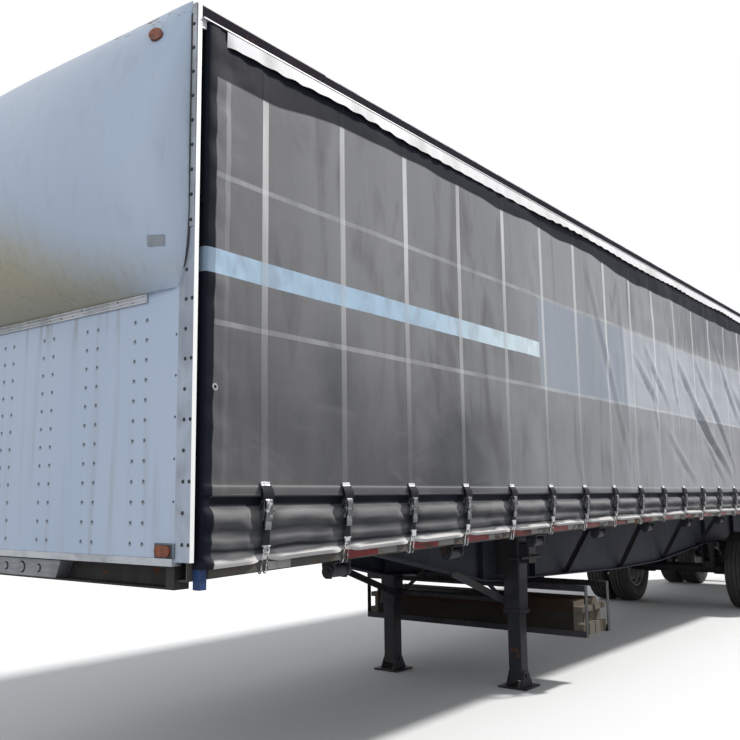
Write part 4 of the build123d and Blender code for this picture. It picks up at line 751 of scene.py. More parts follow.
@dataclass(frozen=True)
class PlainRubber:
    """Thick rubber sheet, scuffed and dusty."""

    name: str = "sheet_rubber"
    colour: Colour = (0.028, 0.028, 0.029)

    def material(self) -> Material:
        """Builds the finish."""
        shader = Shader(self.name, Base_Color=self.colour)
        scuffs = shader.noise(30.0, (1, 1, 0.2), detail=6, warp=0.4)
        base = shader.mix(shader.fade(scuffs, 0.5, 0.85, 0.0, 0.6), self.colour, (0.12, 0.112, 0.10))
        shader.bump(scuffs, 0.0012, 0.5)
        return shader.paint(base, shader.fade(scuffs, 0.3, 0.8, 0.58, 0.85))


@dataclass(frozen=True)
class LampLens:
    """Ribbed plastic lens over a pale reflector."""

    name: str
    colour: Colour
    deep: Colour

    def material(self) -> Material:
        """Builds the finish."""
        shader = Shader(
            self.name, Base_Color=self.colour, IOR=1.49, Roughness=0.20, Coat_Weight=0.1, Specular_IOR_Level=0.3
        )
        ribs = shader.wave(60.0, Axis3.UP)
        clouds = shader.noise(30.0, detail=6, warp=0.4)
        base = shader.mix(ribs * 0.5, self.colour, self.deep)
        base = shader.mix(shader.fade(clouds, 0.42, 0.66, 0.0, 0.80), base, self.deep)
        grime = shader.fade(shader.noise(9.0, detail=5), 0.45, 0.7, 0.0, 0.25)
        base = shader.mix(grime, base, (0.10, 0.085, 0.075))
        shader.bump(ribs, 0.0008, 0.5)
        return shader.paint(base)


@dataclass(frozen=True)
class RailTape:
    """Reflective tape in red and silver lengths, scratched by chains."""

    name: str = "rail_tape"
    red: Colour = (0.23, 0.016, 0.020)
    silver: Colour = (0.25, 0.24, 0.22)
    start: float = 1.07
    period: float = 0.6096
    red_share: float = 0.464

    def material(self) -> Material:
        """Builds the finish."""
        shader = Shader(self.name, Base_Color=self.red, IOR=1.5, Specular_IOR_Level=0.15)
        behind = SIZES.front - self.start - shader.axes[Axis3.ALONG]
        turn = shader.math("FRACT", behind / self.period)
        base = shader.mix(shader.fade(turn, self.red_share - 0.004, self.red_share + 0.004), self.red, self.silver)
        worn = shader.noise(19.0, (0.30, 1, 1), detail=8, warp=1.0)
        base = shader.mix(shader.fade(worn, 0.50, 0.62, 0.0, 0.90), base, (0.070, 0.056, 0.045))
        comb = shader.cells(260.0)
        shader.bump(comb, 0.0002, 0.4)
        return shader.paint(base, shader.fade(worn, 0.4, 0.7, 0.28, 0.7))


# Modelling by hand


def deselect() -> None:
    """Leaves nothing selected."""
    bpy.ops.object.select_all(action="DESELECT")


def pick(piece: Piece) -> None:
    """Selects one piece alone and makes it active."""
    deselect()
    piece.select_set(True)
    bpy.context.view_layer.objects.active = piece


@contextmanager
def editing(piece: Piece, kind: str = "FACE") -> Iterator[None]:
    """Edit mode on one piece alone.

    Args:
        piece: What is edited.
        kind: Whether faces, edges or vertices are picked.
    """
    pick(piece)
    bpy.ops.object.mode_set(mode="EDIT")
    bpy.ops.mesh.select_mode(type=kind)
    try:
        yield
    finally:
        bpy.ops.object.mode_set(mode="OBJECT")


def named(name: str) -> Piece:
    """Names the primitive that was just added."""
    piece = bpy.context.active_object
    piece.name = name
    piece.data.name = name
    return piece


def settle(piece: Piece) -> Piece:
    """Moves a piece's place, turn and size into its mesh."""
    pick(piece)
    bpy.ops.object.transform_apply(location=True, rotation=True, scale=True)
    return piece


def bevelled_box(name: str, low: Point, high: Point, bevel: float = 0.001, segments: int = 2) -> Piece:
    """A block between two corners with its edges rounded.

    Args:
        name: Name of the piece.
        low: Lowest corner.
        high: Highest corner.
        bevel: Radius of the edges.
        segments: Faces across each rounded edge.

    Returns:
        The piece, its place in its mesh.
    """
    deselect()
    bpy.ops.mesh.primitive_cube_add(size=1, location=[(a + b) / 2 for a, b in zip(low, high)])
    piece = named(name)
    piece.scale = [abs(b - a) for a, b in zip(low, high)]
    settle(piece)
    with editing(piece, "EDGE"):
        bpy.ops.mesh.select_all(action="SELECT")
        bpy.ops.mesh.bevel(offset=bevel, segments=segments, affect="EDGES")
    return piece


def round_bar(name: str, start: Point, end: Point, radius: float, sides: int = 16, bevel: float = 0.0006) -> Piece:
    """A round bar between two points with its rims broken.

    Args:
        name: Name of the piece.
        start: Middle of one end.
        end: Middle of the other end.
        radius: Radius of the bar.
        sides: Faces round the bar.
        bevel: Size of the broken rim.

    Returns:
        The piece, its place in its mesh.
    """
    reach = Vector(end) - Vector(start)
    deselect()
    bpy.ops.mesh.primitive_cylinder_add(vertices=sides, radius=radius, depth=reach.length)
    piece = named(name)
    turn = reach.to_track_quat("Z", "Y").to_matrix().to_4x4()
    piece.matrix_world = Matrix.Translation((Vector(start) + Vector(end)) / 2) @ turn
    settle(piece)
    mesh = piece.data
    for items in (mesh.edges, mesh.polygons, mesh.vertices):
        items.foreach_set("select", [False] * len(items))
    for edge in mesh.edges:
        first, second = (Vector(mesh.vertices[v].co) for v in edge.vertices)
        edge.select = abs((first - second).dot(reach.normalized())) < 1e-6
    with editing(piece, "EDGE"):
        bpy.ops.mesh.bevel(offset=bevel, segments=1, affect="EDGES")
    return piece


def outline(name: str, points: Sequence[Point], closed: bool = False) -> Piece:
    """Draws a line in edit mode, from a plane shrunk to its first point.

    Args:
        name: Name of the piece.
        points: Places along the line.
        closed: Whether the line is closed and filled.

    Returns:
        The line as a piece.
    """
    deselect()
    bpy.ops.mesh.primitive_plane_add(size=0.001, location=points[0])
    piece = settle(named(name))
    with editing(piece, "VERT"):
        bpy.ops.mesh.select_all(action="SELECT")
        bpy.ops.mesh.merge(type="CENTER")
        for start, end in zip(points, points[1:]):
            step = tuple(Vector(end) - Vector(start))
            bpy.ops.mesh.extrude_vertices_move(TRANSFORM_OT_translate={"value": step})
        if closed:
            bpy.ops.mesh.select_all(action="SELECT")
            bpy.ops.mesh.edge_face_add()
    return piece


def turned(name: str, centre: Point, axis: Axis3, profile: Sequence[tuple[float, float]], steps: int = 32) -> Piece:
    """A turned piece, its outline spun round an axis.

    Args:
        name: Name of the piece.
        centre: Point on the axis that the outline starts from.
        axis: Direction of the axis.
        profile: Place along the axis and radius of each point of the outline.
        steps: Faces round the axis.

    Returns:
        The piece, its place in its mesh.
    """
    across = Axis3((axis.value + 1) % 3)
    points = np.zeros((len(profile), 3))
    points[:, axis.value] = [p[0] for p in profile]
    points[:, across.value] = [p[1] for p in profile]
    piece = outline(name, [tuple(float(v) for v in p) for p in points])
    direction = [0.0, 0.0, 0.0]
    direction[axis.value] = 1.0
    with editing(piece, "VERT"):
        bpy.ops.mesh.select_all(action="SELECT")
        bpy.ops.mesh.spin(steps=steps, angle=math.tau, center=(0, 0, 0), axis=direction)
        bpy.ops.mesh.select_all(action="SELECT")
        bpy.ops.mesh.remove_doubles(threshold=1e-5)
        bpy.ops.mesh.normals_make_consistent(inside=False)
    piece.location = centre
    return settle(piece)


def ribbon(name: str, path: Sequence[Point], across: Point, thickness: float) -> Piece:
    """A flat strip that follows a path, such as webbing or bent plate.

    Args:
        name: Name of the piece.
        path: Points along the strip's middle.
        across: Half of the strip's width, as a vector.
        thickness: Thickness of the strip.

    Returns:
        The piece, its place in its mesh.
    """
    half = Vector(across)
    piece = outline(name, [tuple(Vector(p) - half) for p in path])
    with editing(piece, "VERT"):
        bpy.ops.mesh.select_all(action="SELECT")
        bpy.ops.mesh.extrude_region_move(TRANSFORM_OT_translate={"value": tuple(2 * half)})
        bpy.ops.mesh.select_all(action="SELECT")
        bpy.ops.mesh.normals_make_consistent(inside=False)
    return thicken(piece, thickness)


def thicken(piece: Piece, thickness: float, offset: float = 0.0) -> Piece:
    """Gives a sheet its thickness."""
    pick(piece)
    solidify = piece.modifiers.new("thickness", "SOLIDIFY")
    solidify.thickness = thickness
    solidify.offset = offset
    bpy.ops.object.modifier_apply(modifier=solidify.name)
    return piece


def wire(name: str, path: Sequence[Point], radius: float, sides: int = 3) -> Piece:
    """A bent round wire along a path.

    Args:
        name: Name of the piece.
        path: Points along the wire's middle.
        radius: Radius of the wire.
        sides: Fineness of the wire's round.

    Returns:
        The piece as a mesh.
    """
    deselect()
    bpy.ops.curve.primitive_nurbs_path_add()
    piece = named(name)
    curve = piece.data
    curve.splines.clear()
    spline = curve.splines.new("NURBS")
    spline.points.add(len(path) - 1)
    for point, place in zip(spline.points, path):
        point.co = (*place, 1.0)
    spline.order_u = 3
    spline.use_endpoint_u = True
    spline.resolution_u = 5
    curve.dimensions = "3D"
    curve.bevel_depth = radius
    curve.bevel_resolution = sides
    curve.use_fill_caps = True
    pick(piece)
    bpy.ops.object.convert(target="MESH")
    return named(name)


def fused(name: str, pieces: Sequence[Piece]) -> Piece:
    """Joins pieces into one mesh."""
    deselect()
    for piece in pieces:
        piece.select_set(True)
    bpy.context.view_layer.objects.active = pieces[0]
    if len(pieces) > 1:
        bpy.ops.object.join()
    return named(name)


def repeated(piece: Piece, name: str, moves: Sequence[Matrix]) -> Piece:
    """Copies a piece to each move, each copy with its own mesh, and joins the copies.

    Args:
        piece: The piece that is copied, which is then removed.
        name: Name of the joined piece.
        moves: Where each copy goes.

    Returns:
        All copies as one piece.
    """
    copies = []
    for move in moves:
        copy = piece.copy()
        copy.data = piece.data.copy()
        copy.data.transform(move)
        bpy.context.scene.collection.objects.link(copy)
        copies.append(copy)
    bpy.data.objects.remove(piece)
    return fused(name, copies)


def shifts(places: Sequence[Point]) -> list[Matrix]:
    """Plain moves to each of the given places."""
    return [Matrix.Translation(p) for p in places]


def finish_piece(piece: Piece, material: Material, body: str = "chassis", smooth: float = 35.0) -> Piece:
    """Gives a piece its finish, its smoothing and the body it rides on.

    Args:
        piece: The finished mesh.
        material: Its finish.
        body: The body it moves with.
        smooth: Angle in degrees up to which edges are smoothed.

    Returns:
        The piece.
    """
    piece.data.materials.clear()
    piece.data.materials.append(material)
    pick(piece)
    bpy.ops.object.shade_smooth_by_angle(angle=math.radians(smooth))
    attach(piece, body)
    log.info("%s: %d faces on %s", piece.name, len(piece.data.polygons), body)
    return piece


# Curtains


def sheet_piece(name: str, points: Sequence[Point], rows: int, columns: int, side: Side) -> Piece:
    """A sheet of cloth from its places, given row by row, that faces outwards.

    Args:
        name: Name of the piece.
        points: Places from the top row down, each row from the front.
        rows: Number of rows.
        columns: Number of places in a row.
        side: The side of the trailer that it hangs on.

    Returns:
        The sheet, still without thickness.
    """
    index = np.arange(rows * columns).reshape(rows, columns)
    quads = np.stack([index[:-1, :-1], index[1:, :-1], index[1:, 1:], index[:-1, 1:]], axis=-1).reshape(-1, 4)
    if side is Side.RIGHT:
        quads = quads[:, ::-1]
    mesh = bpy.data.meshes.new(name)
    mesh.from_pydata(points, [], quads.tolist())
    piece = bpy.data.objects.new(name, mesh)
    bpy.context.scene.collection.objects.link(piece)
    return piece


@dataclass
class Fold:
    """A long fold in the cloth between two places on the curtain."""

    station: float
    height: float
    end_station: float
    end_height: float
    width: float
    depth: float

    def lift(self, station: np.ndarray, height: np.ndarray) -> np.ndarray:
        """How far the fold lifts the cloth at each place."""
        run = np.array([self.end_station - self.station, self.end_height - self.height])
        length = np.linalg.norm(run)
        along = ((station - self.station) * run[0] + (height - self.height) * run[1]) / length**2
        off = ((station - self.station) * run[1] - (height - self.height) * run[0]) / length
        taper = np.clip(1 - np.abs(2 * along - 1) ** 2.5, 0, 1) * ((along > 0) & (along < 1))
        crest = np.exp(-((off / self.width) ** 2))
        trough = np.exp(-(((off - 1.7 * self.width) / self.width) ** 2))
        return self.depth * taper * (crest - 0.5 * trough)


def clouds(station: np.ndarray, height: np.ndarray, scale: tuple[float, float], seed: float) -> np.ndarray:
    """Soft random relief from -1 to 1 over the curtain."""
    flat = [noise.noise(Vector((s * scale[0], z * scale[1], seed))) for s, z in zip(station.ravel(), height.ravel())]
    return np.array(flat).reshape(station.shape)


@dataclass
class Curtain:
    """One side curtain with its hem and the skirt that is strapped down to the rail."""

    side: Side
    seed: float
    rows: int = 54
    bay_columns: int = 17
    skirt_rows: int = 26
    face: float = 1.3012
    wrap_front: float = 0.0575
    pole_inner: float = 1.250
    thickness: float = 0.0011
    skirt_high: float = 1.518
    skirt_foot: float = 1.252
    pinch: float = 0.030
    strap_edge: float = 0.029
    folds: list[Fold] = field(default_factory=list)

    def columns(self) -> np.ndarray:
        """Stations of the grid's columns, with lines at both edges of each strap."""
        edges = [-self.strap_edge, -0.0245, 0.0, 0.0245, self.strap_edge]
        stations: list[float] = list(np.linspace(0.118, SIZES.straps[0] - self.strap_edge, 18)[:-1])
        for n, strap in enumerate(SIZES.straps):
            stations += [strap + e for e in edges]
            last = n + 1 == SIZES.strap_count
            after = SIZES.curtain_rear if last else SIZES.straps[n + 1] - self.strap_edge
            if after - strap > 0.06:
                count = 3 if last else self.bay_columns
                stations += list(np.linspace(strap + self.strap_edge, after, count + 2)[1:-1])
        return np.array([s for s in stations if s < SIZES.curtain_rear - 0.004] + [SIZES.curtain_rear])

    def wrap(self) -> list[tuple[float, float]]:
        """Station and Y of the cloth where it turns in round the front pole."""
        return [
            (self.wrap_front, self.pole_inner),
            (self.wrap_front, self.pole_inner + 0.015),
            (self.wrap_front, self.pole_inner + 0.028),
            (self.wrap_front + 0.002, 1.2885),
            (self.wrap_front + 0.007, 1.2955),
            (self.wrap_front + 0.017, 1.2990),
            (self.wrap_front + 0.032, 1.3005),
            (self.wrap_front + 0.046, 1.3010),
        ]

    def past_strap(self, station: np.ndarray) -> np.ndarray:
        """How far each station lies behind the nearest strap; less than 0 in front of it."""
        shift = station - SIZES.strap_first + 0.5 * SIZES.strap_pitch
        return shift % SIZES.strap_pitch - 0.5 * SIZES.strap_pitch

    def held_behind(self, station: np.ndarray) -> np.ndarray:
        """One where the cloth is free, down to 0 at the rear edge, which lies flat so that the open door clears it."""
        return np.clip((SIZES.curtain_rear + 0.005 - station) / 0.15, 0, 1)

    def relief(self, station: np.ndarray, height: np.ndarray) -> np.ndarray:
        """How far the upper cloth stands out at each place of the grid."""
        phase = ((station - SIZES.strap_first) / SIZES.strap_pitch) % 1.0
        bay = np.floor((station - SIZES.strap_first) / SIZES.strap_pitch)
        belly = np.sin(np.pi * phase) ** 2
        middle = np.clip((height - 1.62) / 0.25, 0, 1) * np.clip((3.77 - height) / 0.12, 0, 1)
        sign = np.sin(bay * 2.4 + self.seed * 3.1)
        out = 0.0045 * belly * middle * (0.6 + sign)
        out += 0.0075 * clouds(station, height, (1.4, 0.55), self.seed) * middle
        out += 0.0030 * clouds(station, height, (6.0, 1.8), self.seed + 7) * middle
        loose = np.clip((station - 4.6) / 0.8, 0, 1) * np.clip((13.9 - station) / 0.8, 0, 1)
        out += 0.0060 * clouds(station, height, (7.5, 2.4), self.seed + 13) * middle * loose
        out += 0.0050 * clouds(station, height, (3.0, 7.0), self.seed + 17) * middle * loose
        front = np.clip((0.46 - station) / 0.36, 0, 1) ** 1.3
        out += 0.0100 * clouds(station, height, (7.0, 12.0), self.seed + 11) * front
        for fold in self.folds:
            out += fold.lift(station, height)
        return out * self.held_behind(station)

    def skirt(self, station: np.ndarray, share: np.ndarray) -> tuple[np.ndarray, np.ndarray]:
        """Places of the skirt below the hem.

        Args:
            station: Where along the trailer.
            share: From 0 under the hem to 1 at the free edge.

        Returns:
            How far each place stands out from the curtain's face, and its height.
        """
        swell = np.abs(np.sin(2.0 * np.pi * np.clip(share, 0, 1) ** 0.75))
        lobe = 0.085 * swell * np.interp(share, [0.0, 0.5, 1.0], [0.6, 1.0, 0.9])
        past = self.past_strap(station)
        pinch = self.pinch + lobe * (past < 0) * (station > SIZES.straps[0] - 0.30)
        free = np.clip((np.abs(past) - pinch) / 0.060, 0, 1) ** 0.6 * self.held_behind(station)
        free = np.where(station < SIZES.straps[0] - self.pinch, np.maximum(free, 0.75 * (station < 0.36)), free)
        rise = np.vectorize(SIZES.rise)(station)
        foot = self.skirt_foot + rise + 0.010 * (1 - free) + 0.006 * clouds(station, share, (1.9, 0.0), self.seed + 41)
        height = self.skirt_high + (foot - self.skirt_high) * share
        drift = 0.085 * clouds(station, share, (1.7, 1.0), self.seed + 21)
        drift = drift + 0.09 * (np.abs(past) - 0.15) * np.sin(station * 3.3 + self.seed)
        bend = np.clip(share + drift * np.sin(np.pi * share), 0, 1)
        shares = np.array([0.0, 0.06, 0.16, 0.30, 0.44, 0.52, 0.62, 0.72, 0.79, 0.84, 0.92, 1.0])
        outs = np.array([-0.014, 0.012, 0.022, 0.018, 0.004, 0.000, 0.010, 0.006, -0.004, 0.006, 0.031, 0.020])
        fine = np.linspace(0, 1, 400)
        window = np.hanning(27)[1:-1] / np.hanning(27).sum()
        padded = np.pad(np.interp(fine, shares, outs), 12, mode="edge")
        smooth = np.convolve(padded, window, "valid")[:400]
        rolls = np.interp(bend, fine, smooth)
        scale = 1.0 + 0.35 * clouds(station, share, (1.3, 0.6), self.seed + 51)
        crease = 0.0075 * clouds(station, height, (4.0, 14.0), self.seed + 31)
        front = np.clip((0.42 - station) / 0.30, 0, 1)
        crease += 0.014 * front * clouds(station, height, (9.0, 22.0), self.seed + 61)
        strapped = np.interp(share, [0.0, 0.15, 0.5, 0.85, 1.0], [-0.010, -0.001, -0.0005, -0.0005, -0.001])
        sunk = np.interp(share, [0.0, 0.1, 0.6, 0.85, 1.0], [-0.010, -0.0110, -0.0095, -0.0045, -0.002])
        strapped += (sunk - strapped) * np.clip(-past / 0.035, 0, 1)
        out = (rolls * scale + crease * np.sin(np.pi * np.clip(share + 0.1, 0, 1))) * free + strapped * (1 - free)
        low = np.interp(share, [0.0, 0.70, 0.86, 1.0], [-0.014, -0.006, -0.0035, -0.0035])
        return np.clip(out, low, 0.0325), height

    def mesh_points(self) -> tuple[np.ndarray, int, int]:
        """Points of the whole sheet, and its numbers of rows and columns."""
        columns = self.columns()
        wrap = self.wrap()
        heights = np.linspace(SIZES.curtain_top, SIZES.hem_top + 0.004, self.rows)
        station, height = np.meshgrid(columns, heights)
        outs, levels = [self.relief(station, height)], [height]
        hem = [(SIZES.hem_top, 0.0), (SIZES.hem_top - 0.002, 0.0030), (1.595, 0.0045), (1.578, 0.0050), (1.568, 0.0040)]
        hem += [(SIZES.hem_low, 0.0), (SIZES.hem_low + 0.003, -0.005)]
        hem += [(1.560, -0.0125), (1.544, -0.0165), (1.528, -0.0160)]
        wave = 0.0018 * np.sin(columns * 9.0 + self.seed) + 0.003 * clouds(columns, columns, (1.2, 0.0), self.seed + 71)
        for z, out in hem:
            levels.append((z + wave * (z < 1.60))[None, :])
            outs.append(np.full((1, len(columns)), out))
        station, share = np.meshgrid(columns, np.linspace(0, 1, self.skirt_rows))
        out, height = self.skirt(station, share)
        outs.append(out)
        levels.append(height)
        out, height = np.vstack(outs), np.vstack(levels)
        grid = np.zeros((len(out), len(wrap) + len(columns), 3))
        fade = np.linspace(0.0, 1.0, len(wrap))
        for index, (s, y) in enumerate(wrap):
            grid[:, index, 0] = s
            grid[:, index, 1] = y + fade[index] * np.maximum(out[:, 0], -0.006)
            grid[:, index, 2] = height[:, 0]
        grid[:, len(wrap):, 0] = columns[None, :]
        grid[:, len(wrap):, 1] = self.face + out
        grid[:, len(wrap):, 2] = height
        return grid, grid.shape[0], grid.shape[1]

    def build(self) -> Piece:
        """Makes the curtain and hangs it in place of the plain sheet."""
        points, rows, columns = self.mesh_points()
        points[:, :, 0] = SIZES.front - points[:, :, 0]
        points[:, :, 1] *= self.side.value
        piece = sheet_piece(f"curtain_cloth_{self.side.word}", points.reshape(-1, 3).tolist(), rows, columns, self.side)
        thicken(piece, self.thickness, -1.0)
        finish_piece(piece, CurtainCloth(piece.name).material(), smooth=60)
        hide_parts(f"curtain_{self.side.word}")
        log.info("%s: %d rows, %d columns", piece.name, rows, columns)
        return piece


@dataclass
class Valance:
    """The strip that hangs from the track's lip and covers the curtain's rollers, made near white as a painted
    highlight.
    """

    side: Side
    seed: float
    top: float = 3.7735
    drop: float = 0.076
    front: float = 0.180
    step: float = 0.0205
    rows: int = 9
    thickness: float = 0.0014
    bead_radius: float = 0.0028
    drip_radius: float = 0.0045
    drip_front: float = 0.93
    roof_edge: float = 1.2935
    roof_z: float = 3.8440
    face: float = 1.3046
    bead_y: float = 1.3030

    def build(self) -> None:
        """Makes the valance, the dark bead that it hangs by and the drip edge above it."""
        stations = np.arange(self.front, SIZES.curtain_rear, self.step)
        points = []
        for share in np.linspace(0, 1, self.rows):
            for s in stations:
                slow = noise.noise(Vector((s * 0.85, 0.0, self.seed)))
                phase = s * 43.0 + 5.0 * noise.noise(Vector((s * 0.9, 0, self.seed + 5))) + 1.3 * share
                ripple = math.sin(phase) * (0.6 + 0.6 * noise.noise(Vector((s * 2.2, 1.0, self.seed))))
                start = max(0.0, 1 - (s - self.front) / 0.06)
                out = self.face + (0.0125 + 0.0050 * ripple + 0.010 * slow) * share**0.9 - 0.016 * start**2 * share
                low = max(-0.003, 0.030 * (slow - 0.12) + 0.004 * ripple)
                points.append((SIZES.x(s), self.side.value * out, self.top - (self.drop - low) * share))
        piece = sheet_piece(f"valance_{self.side.word}", points, self.rows, len(stations), self.side)
        thicken(piece, self.thickness, -1.0)
        # Painted highlight: the valance is made near white, far paler than the curtain's cloth.
        cloth = PlainCloth(f"valance_cloth_{self.side.word}", (0.88, 0.865, 0.875), (0.62, 0.60, 0.60), scale=2.5)
        finish_piece(piece, cloth.material(), smooth=70)
        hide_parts("valances")
        y = self.side.value * self.bead_y
        ends = [(SIZES.x(s), y, self.top + 0.001) for s in (self.front - 0.03, SIZES.curtain_rear)]
        bead = round_bar(f"valance_bead_{self.side.word}", ends[0], ends[1], self.bead_radius, 10, 0.0004)
        finish_piece(bead, PlainRubber(f"bead_rubber_{self.side.word}").material())
        y = self.side.value * (self.roof_edge - self.drip_radius)
        ends = [(SIZES.x(s), y, self.roof_z) for s in (self.drip_front, SIZES.length - 0.5)]
        drip = round_bar(f"roof_drip_{self.side.word}", ends[0], ends[1], self.drip_radius, 10, 0.0006)
        metal = Aluminium(f"drip_aluminium_{self.side.word}", (0.86, 0.87, 0.89), Axis3.ALONG, 0.5, 0.1)
        finish_piece(drip, metal.material())


def long_folds(seed: int) -> list[Fold]:
    """The diagonal folds of a curtain that has been pulled tight rearwards.

    Args:
        seed: Seed of the folds that lie past the first few.

    Returns:
        Folds from the front to the rear.
    """
    chance = np.random.default_rng(seed)
    folds = [
        Fold(4.30, 3.58, 5.20, 1.75, 0.040, 0.010),
        Fold(5.06, 3.60, 5.16, 1.66, 0.030, 0.012),
        Fold(5.35, 2.86, 6.00, 2.40, 0.026, 0.016),
        Fold(5.62, 3.00, 6.30, 2.38, 0.024, 0.014),
        Fold(6.55, 2.95, 7.70, 2.10, 0.034, 0.020),
        Fold(6.85, 2.62, 8.45, 1.72, 0.040, 0.022),
        Fold(7.15, 3.02, 8.05, 2.30, 0.028, 0.016),
        Fold(6.10, 2.20, 7.05, 1.66, 0.030, 0.015),
        Fold(5.70, 2.95, 5.95, 2.10, 0.016, 0.012),
        Fold(6.30, 3.00, 6.62, 2.30, 0.018, 0.013),
        Fold(7.60, 2.70, 8.60, 1.80, 0.022, 0.018),
        Fold(7.30, 2.20, 8.10, 1.66, 0.020, 0.016),
    ]
    for n in range(11):
        height = 1.72 + 0.165 * n + 0.03 * math.sin(5.0 * n)
        folds.append(Fold(0.105, height, 0.235 + 0.035 * math.sin(2.3 * n), height - 0.055, 0.012, 0.0065))
    for station in np.arange(7.9, 13.4, 0.33):
        start = 2.6 + 0.9 * chance.random()
        run = 0.7 + 1.0 * chance.random()
        drop = 0.6 + 0.6 * chance.random()
        end = max(1.66, start - drop)
        width = 0.024 + 0.022 * chance.random()
        depth = 0.009 + 0.010 * chance.random()
        folds.append(Fold(station, start, station + run, end, width, depth))
    return folds


# Straps


@dataclass
class StrapRow:
    """The over-centre buckles, webbing and hooks along one side."""

    side: Side
    face: float = 1.3050
    half_webbing: float = 0.0245
    half_cheek: float = 0.028
    hook_half: float = 0.017
    cover_half: float = 0.0370
    foot_low: float = 1.268

    def place(self, out: float, height: float, along: float = 0.0) -> Point:
        """A point of the strap at station nought, out from the curtain's face."""
        return (-along, self.side.value * (self.face + out), height)

    def path(self, points: Sequence[tuple[float, float]]) -> list[Point]:
        """Places of several points, given as the distance out and the height."""
        return [self.place(out, z) for out, z in points]

    def level_moves(self) -> list[Matrix]:
        """Moves of what hangs from the hem, at one height along the trailer."""
        return shifts([(SIZES.x(s), 0, 0) for s in SIZES.straps])

    def rail_moves(self) -> list[Matrix]:
        """Moves of what is hooked to the rail, which rises with the deck."""
        return shifts([(SIZES.x(s), 0, SIZES.rise(s)) for s in SIZES.straps])

    def loops(self) -> Piece:
        """The loop and cover flap of black cloth that carry each buckle."""
        half = (self.cover_half, 0, 0)
        bulge = [(0.0010, 1.616), (0.0120, 1.608), (0.0225, 1.592), (0.0275, 1.570)]
        bulge += [(0.0265, 1.552), (0.0170, 1.524), (0.0060, 1.500)]
        loop = ribbon("strap_loop", self.path(bulge), half, 0.0024)
        flat = self.path([(0.0012, 1.610), (0.0020, 1.560), (0.0060, 1.520), (0.0080, 1.462)])
        back = ribbon("strap_back", flat, (self.half_webbing, 0, 0), 0.0022)
        return repeated(fused("strap_upper", [loop, back]), "strap_upper", self.level_moves())

    def webbing(self) -> Piece:
        """Black webbing from the hem to the buckle, and from the buckle to the hook."""
        pieces = [self.loops()]
        for station in SIZES.straps:
            top = 1.468
            foot = self.foot_low + 0.052 + SIZES.rise(station)
            drop = max(top - foot, 0.012)
            points = [(0.0120, top), (0.0110, top - 0.35 * drop), (0.0100, top - 0.7 * drop), (0.0090, top - drop)]
            low = ribbon("strap_lower", self.path(points), (self.half_webbing, 0, 0), 0.0026)
            low.data.transform(Matrix.Translation((SIZES.x(station), 0, 0)))
            pieces.append(low)
        return fused(f"strap_webbing_{self.side.word}", pieces)

    def pale_tails(self) -> Piece:
        """The pale folded ends of webbing under the levers."""
        half = (self.half_webbing * 0.82, 0, 0)
        folded = self.path([(0.0240, 1.452), (0.0258, 1.440), (0.0250, 1.425), (0.0215, 1.410)])
        tail = ribbon("strap_tail", folded, half, 0.0026)
        return repeated(tail, f"strap_tails_{self.side.word}", self.level_moves())

    def cheek(self, along: float) -> Piece:
        """One side plate of the buckle, cut to its outline and broken at its edges."""
        places = [(0.006, 1.545), (0.016, 1.552), (0.025, 1.543), (0.029, 1.520)]
        places += [(0.027, 1.484), (0.019, 1.455), (0.008, 1.447), (0.004, 1.462)]
        plate = outline("buckle_cheek", [self.place(o, z, along) for o, z in places], closed=True)
        thicken(plate, 0.0030)
        with editing(plate, "EDGE"):
            bpy.ops.mesh.select_all(action="SELECT")
            bpy.ops.mesh.normals_make_consistent(inside=False)
            bpy.ops.mesh.bevel(offset=0.0006, segments=1, affect="EDGES")
        return plate

    def buckle(self) -> Piece:
        """Cheeks, rollers and the bent lever of the buckle."""
        parts = [self.cheek(along) for along in (-self.half_cheek, self.half_cheek)]
        for out, z, radius in ((0.0170, 1.541, 0.0058), (0.0145, 1.459, 0.0055), (0.0230, 1.500, 0.0070)):
            reach = self.half_cheek + 0.004
            parts.append(round_bar("buckle_roller", self.place(out, z, -reach), self.place(out, z, reach), radius, 12))
            for end in (-reach, reach):
                ends = [self.place(out, z, end + half) for half in (-0.0015, 0.0015)]
                parts.append(round_bar("buckle_rivet", *ends, radius * 1.30, 10))
        lever = [(0.0255, 1.550), (0.0305, 1.542), (0.0318, 1.520), (0.0305, 1.486)]
        lever += [(0.0270, 1.458), (0.0215, 1.436), (0.0180, 1.424)]
        parts.append(ribbon("buckle_lever", self.path(lever), (self.half_cheek - 0.006, 0, 0), 0.0026))
        for along in (-0.018, 0.018):
            parts.append(wire("lever_rib", [self.place(o + 0.0010, z, along) for o, z in lever[1:-1]], 0.0024, 1))
        return repeated(fused("buckle", parts), f"strap_buckles_{self.side.word}", self.level_moves())

    def bars(self) -> Piece:
        """The bright sewn-in bar at the head of each strap."""
        plate = bevelled_box("strap_bar", self.place(-0.0005, 1.617, -0.030), self.place(0.0060, 1.632, 0.030), 0.0018)
        ends = [self.place(0.0055, 1.6145, along) for along in (-0.029, 0.029)]
        roll = round_bar("strap_bar_roll", *ends, 0.0038, 12)
        return repeated(fused("strap_bar", [plate, roll]), f"strap_bars_{self.side.word}", self.level_moves())

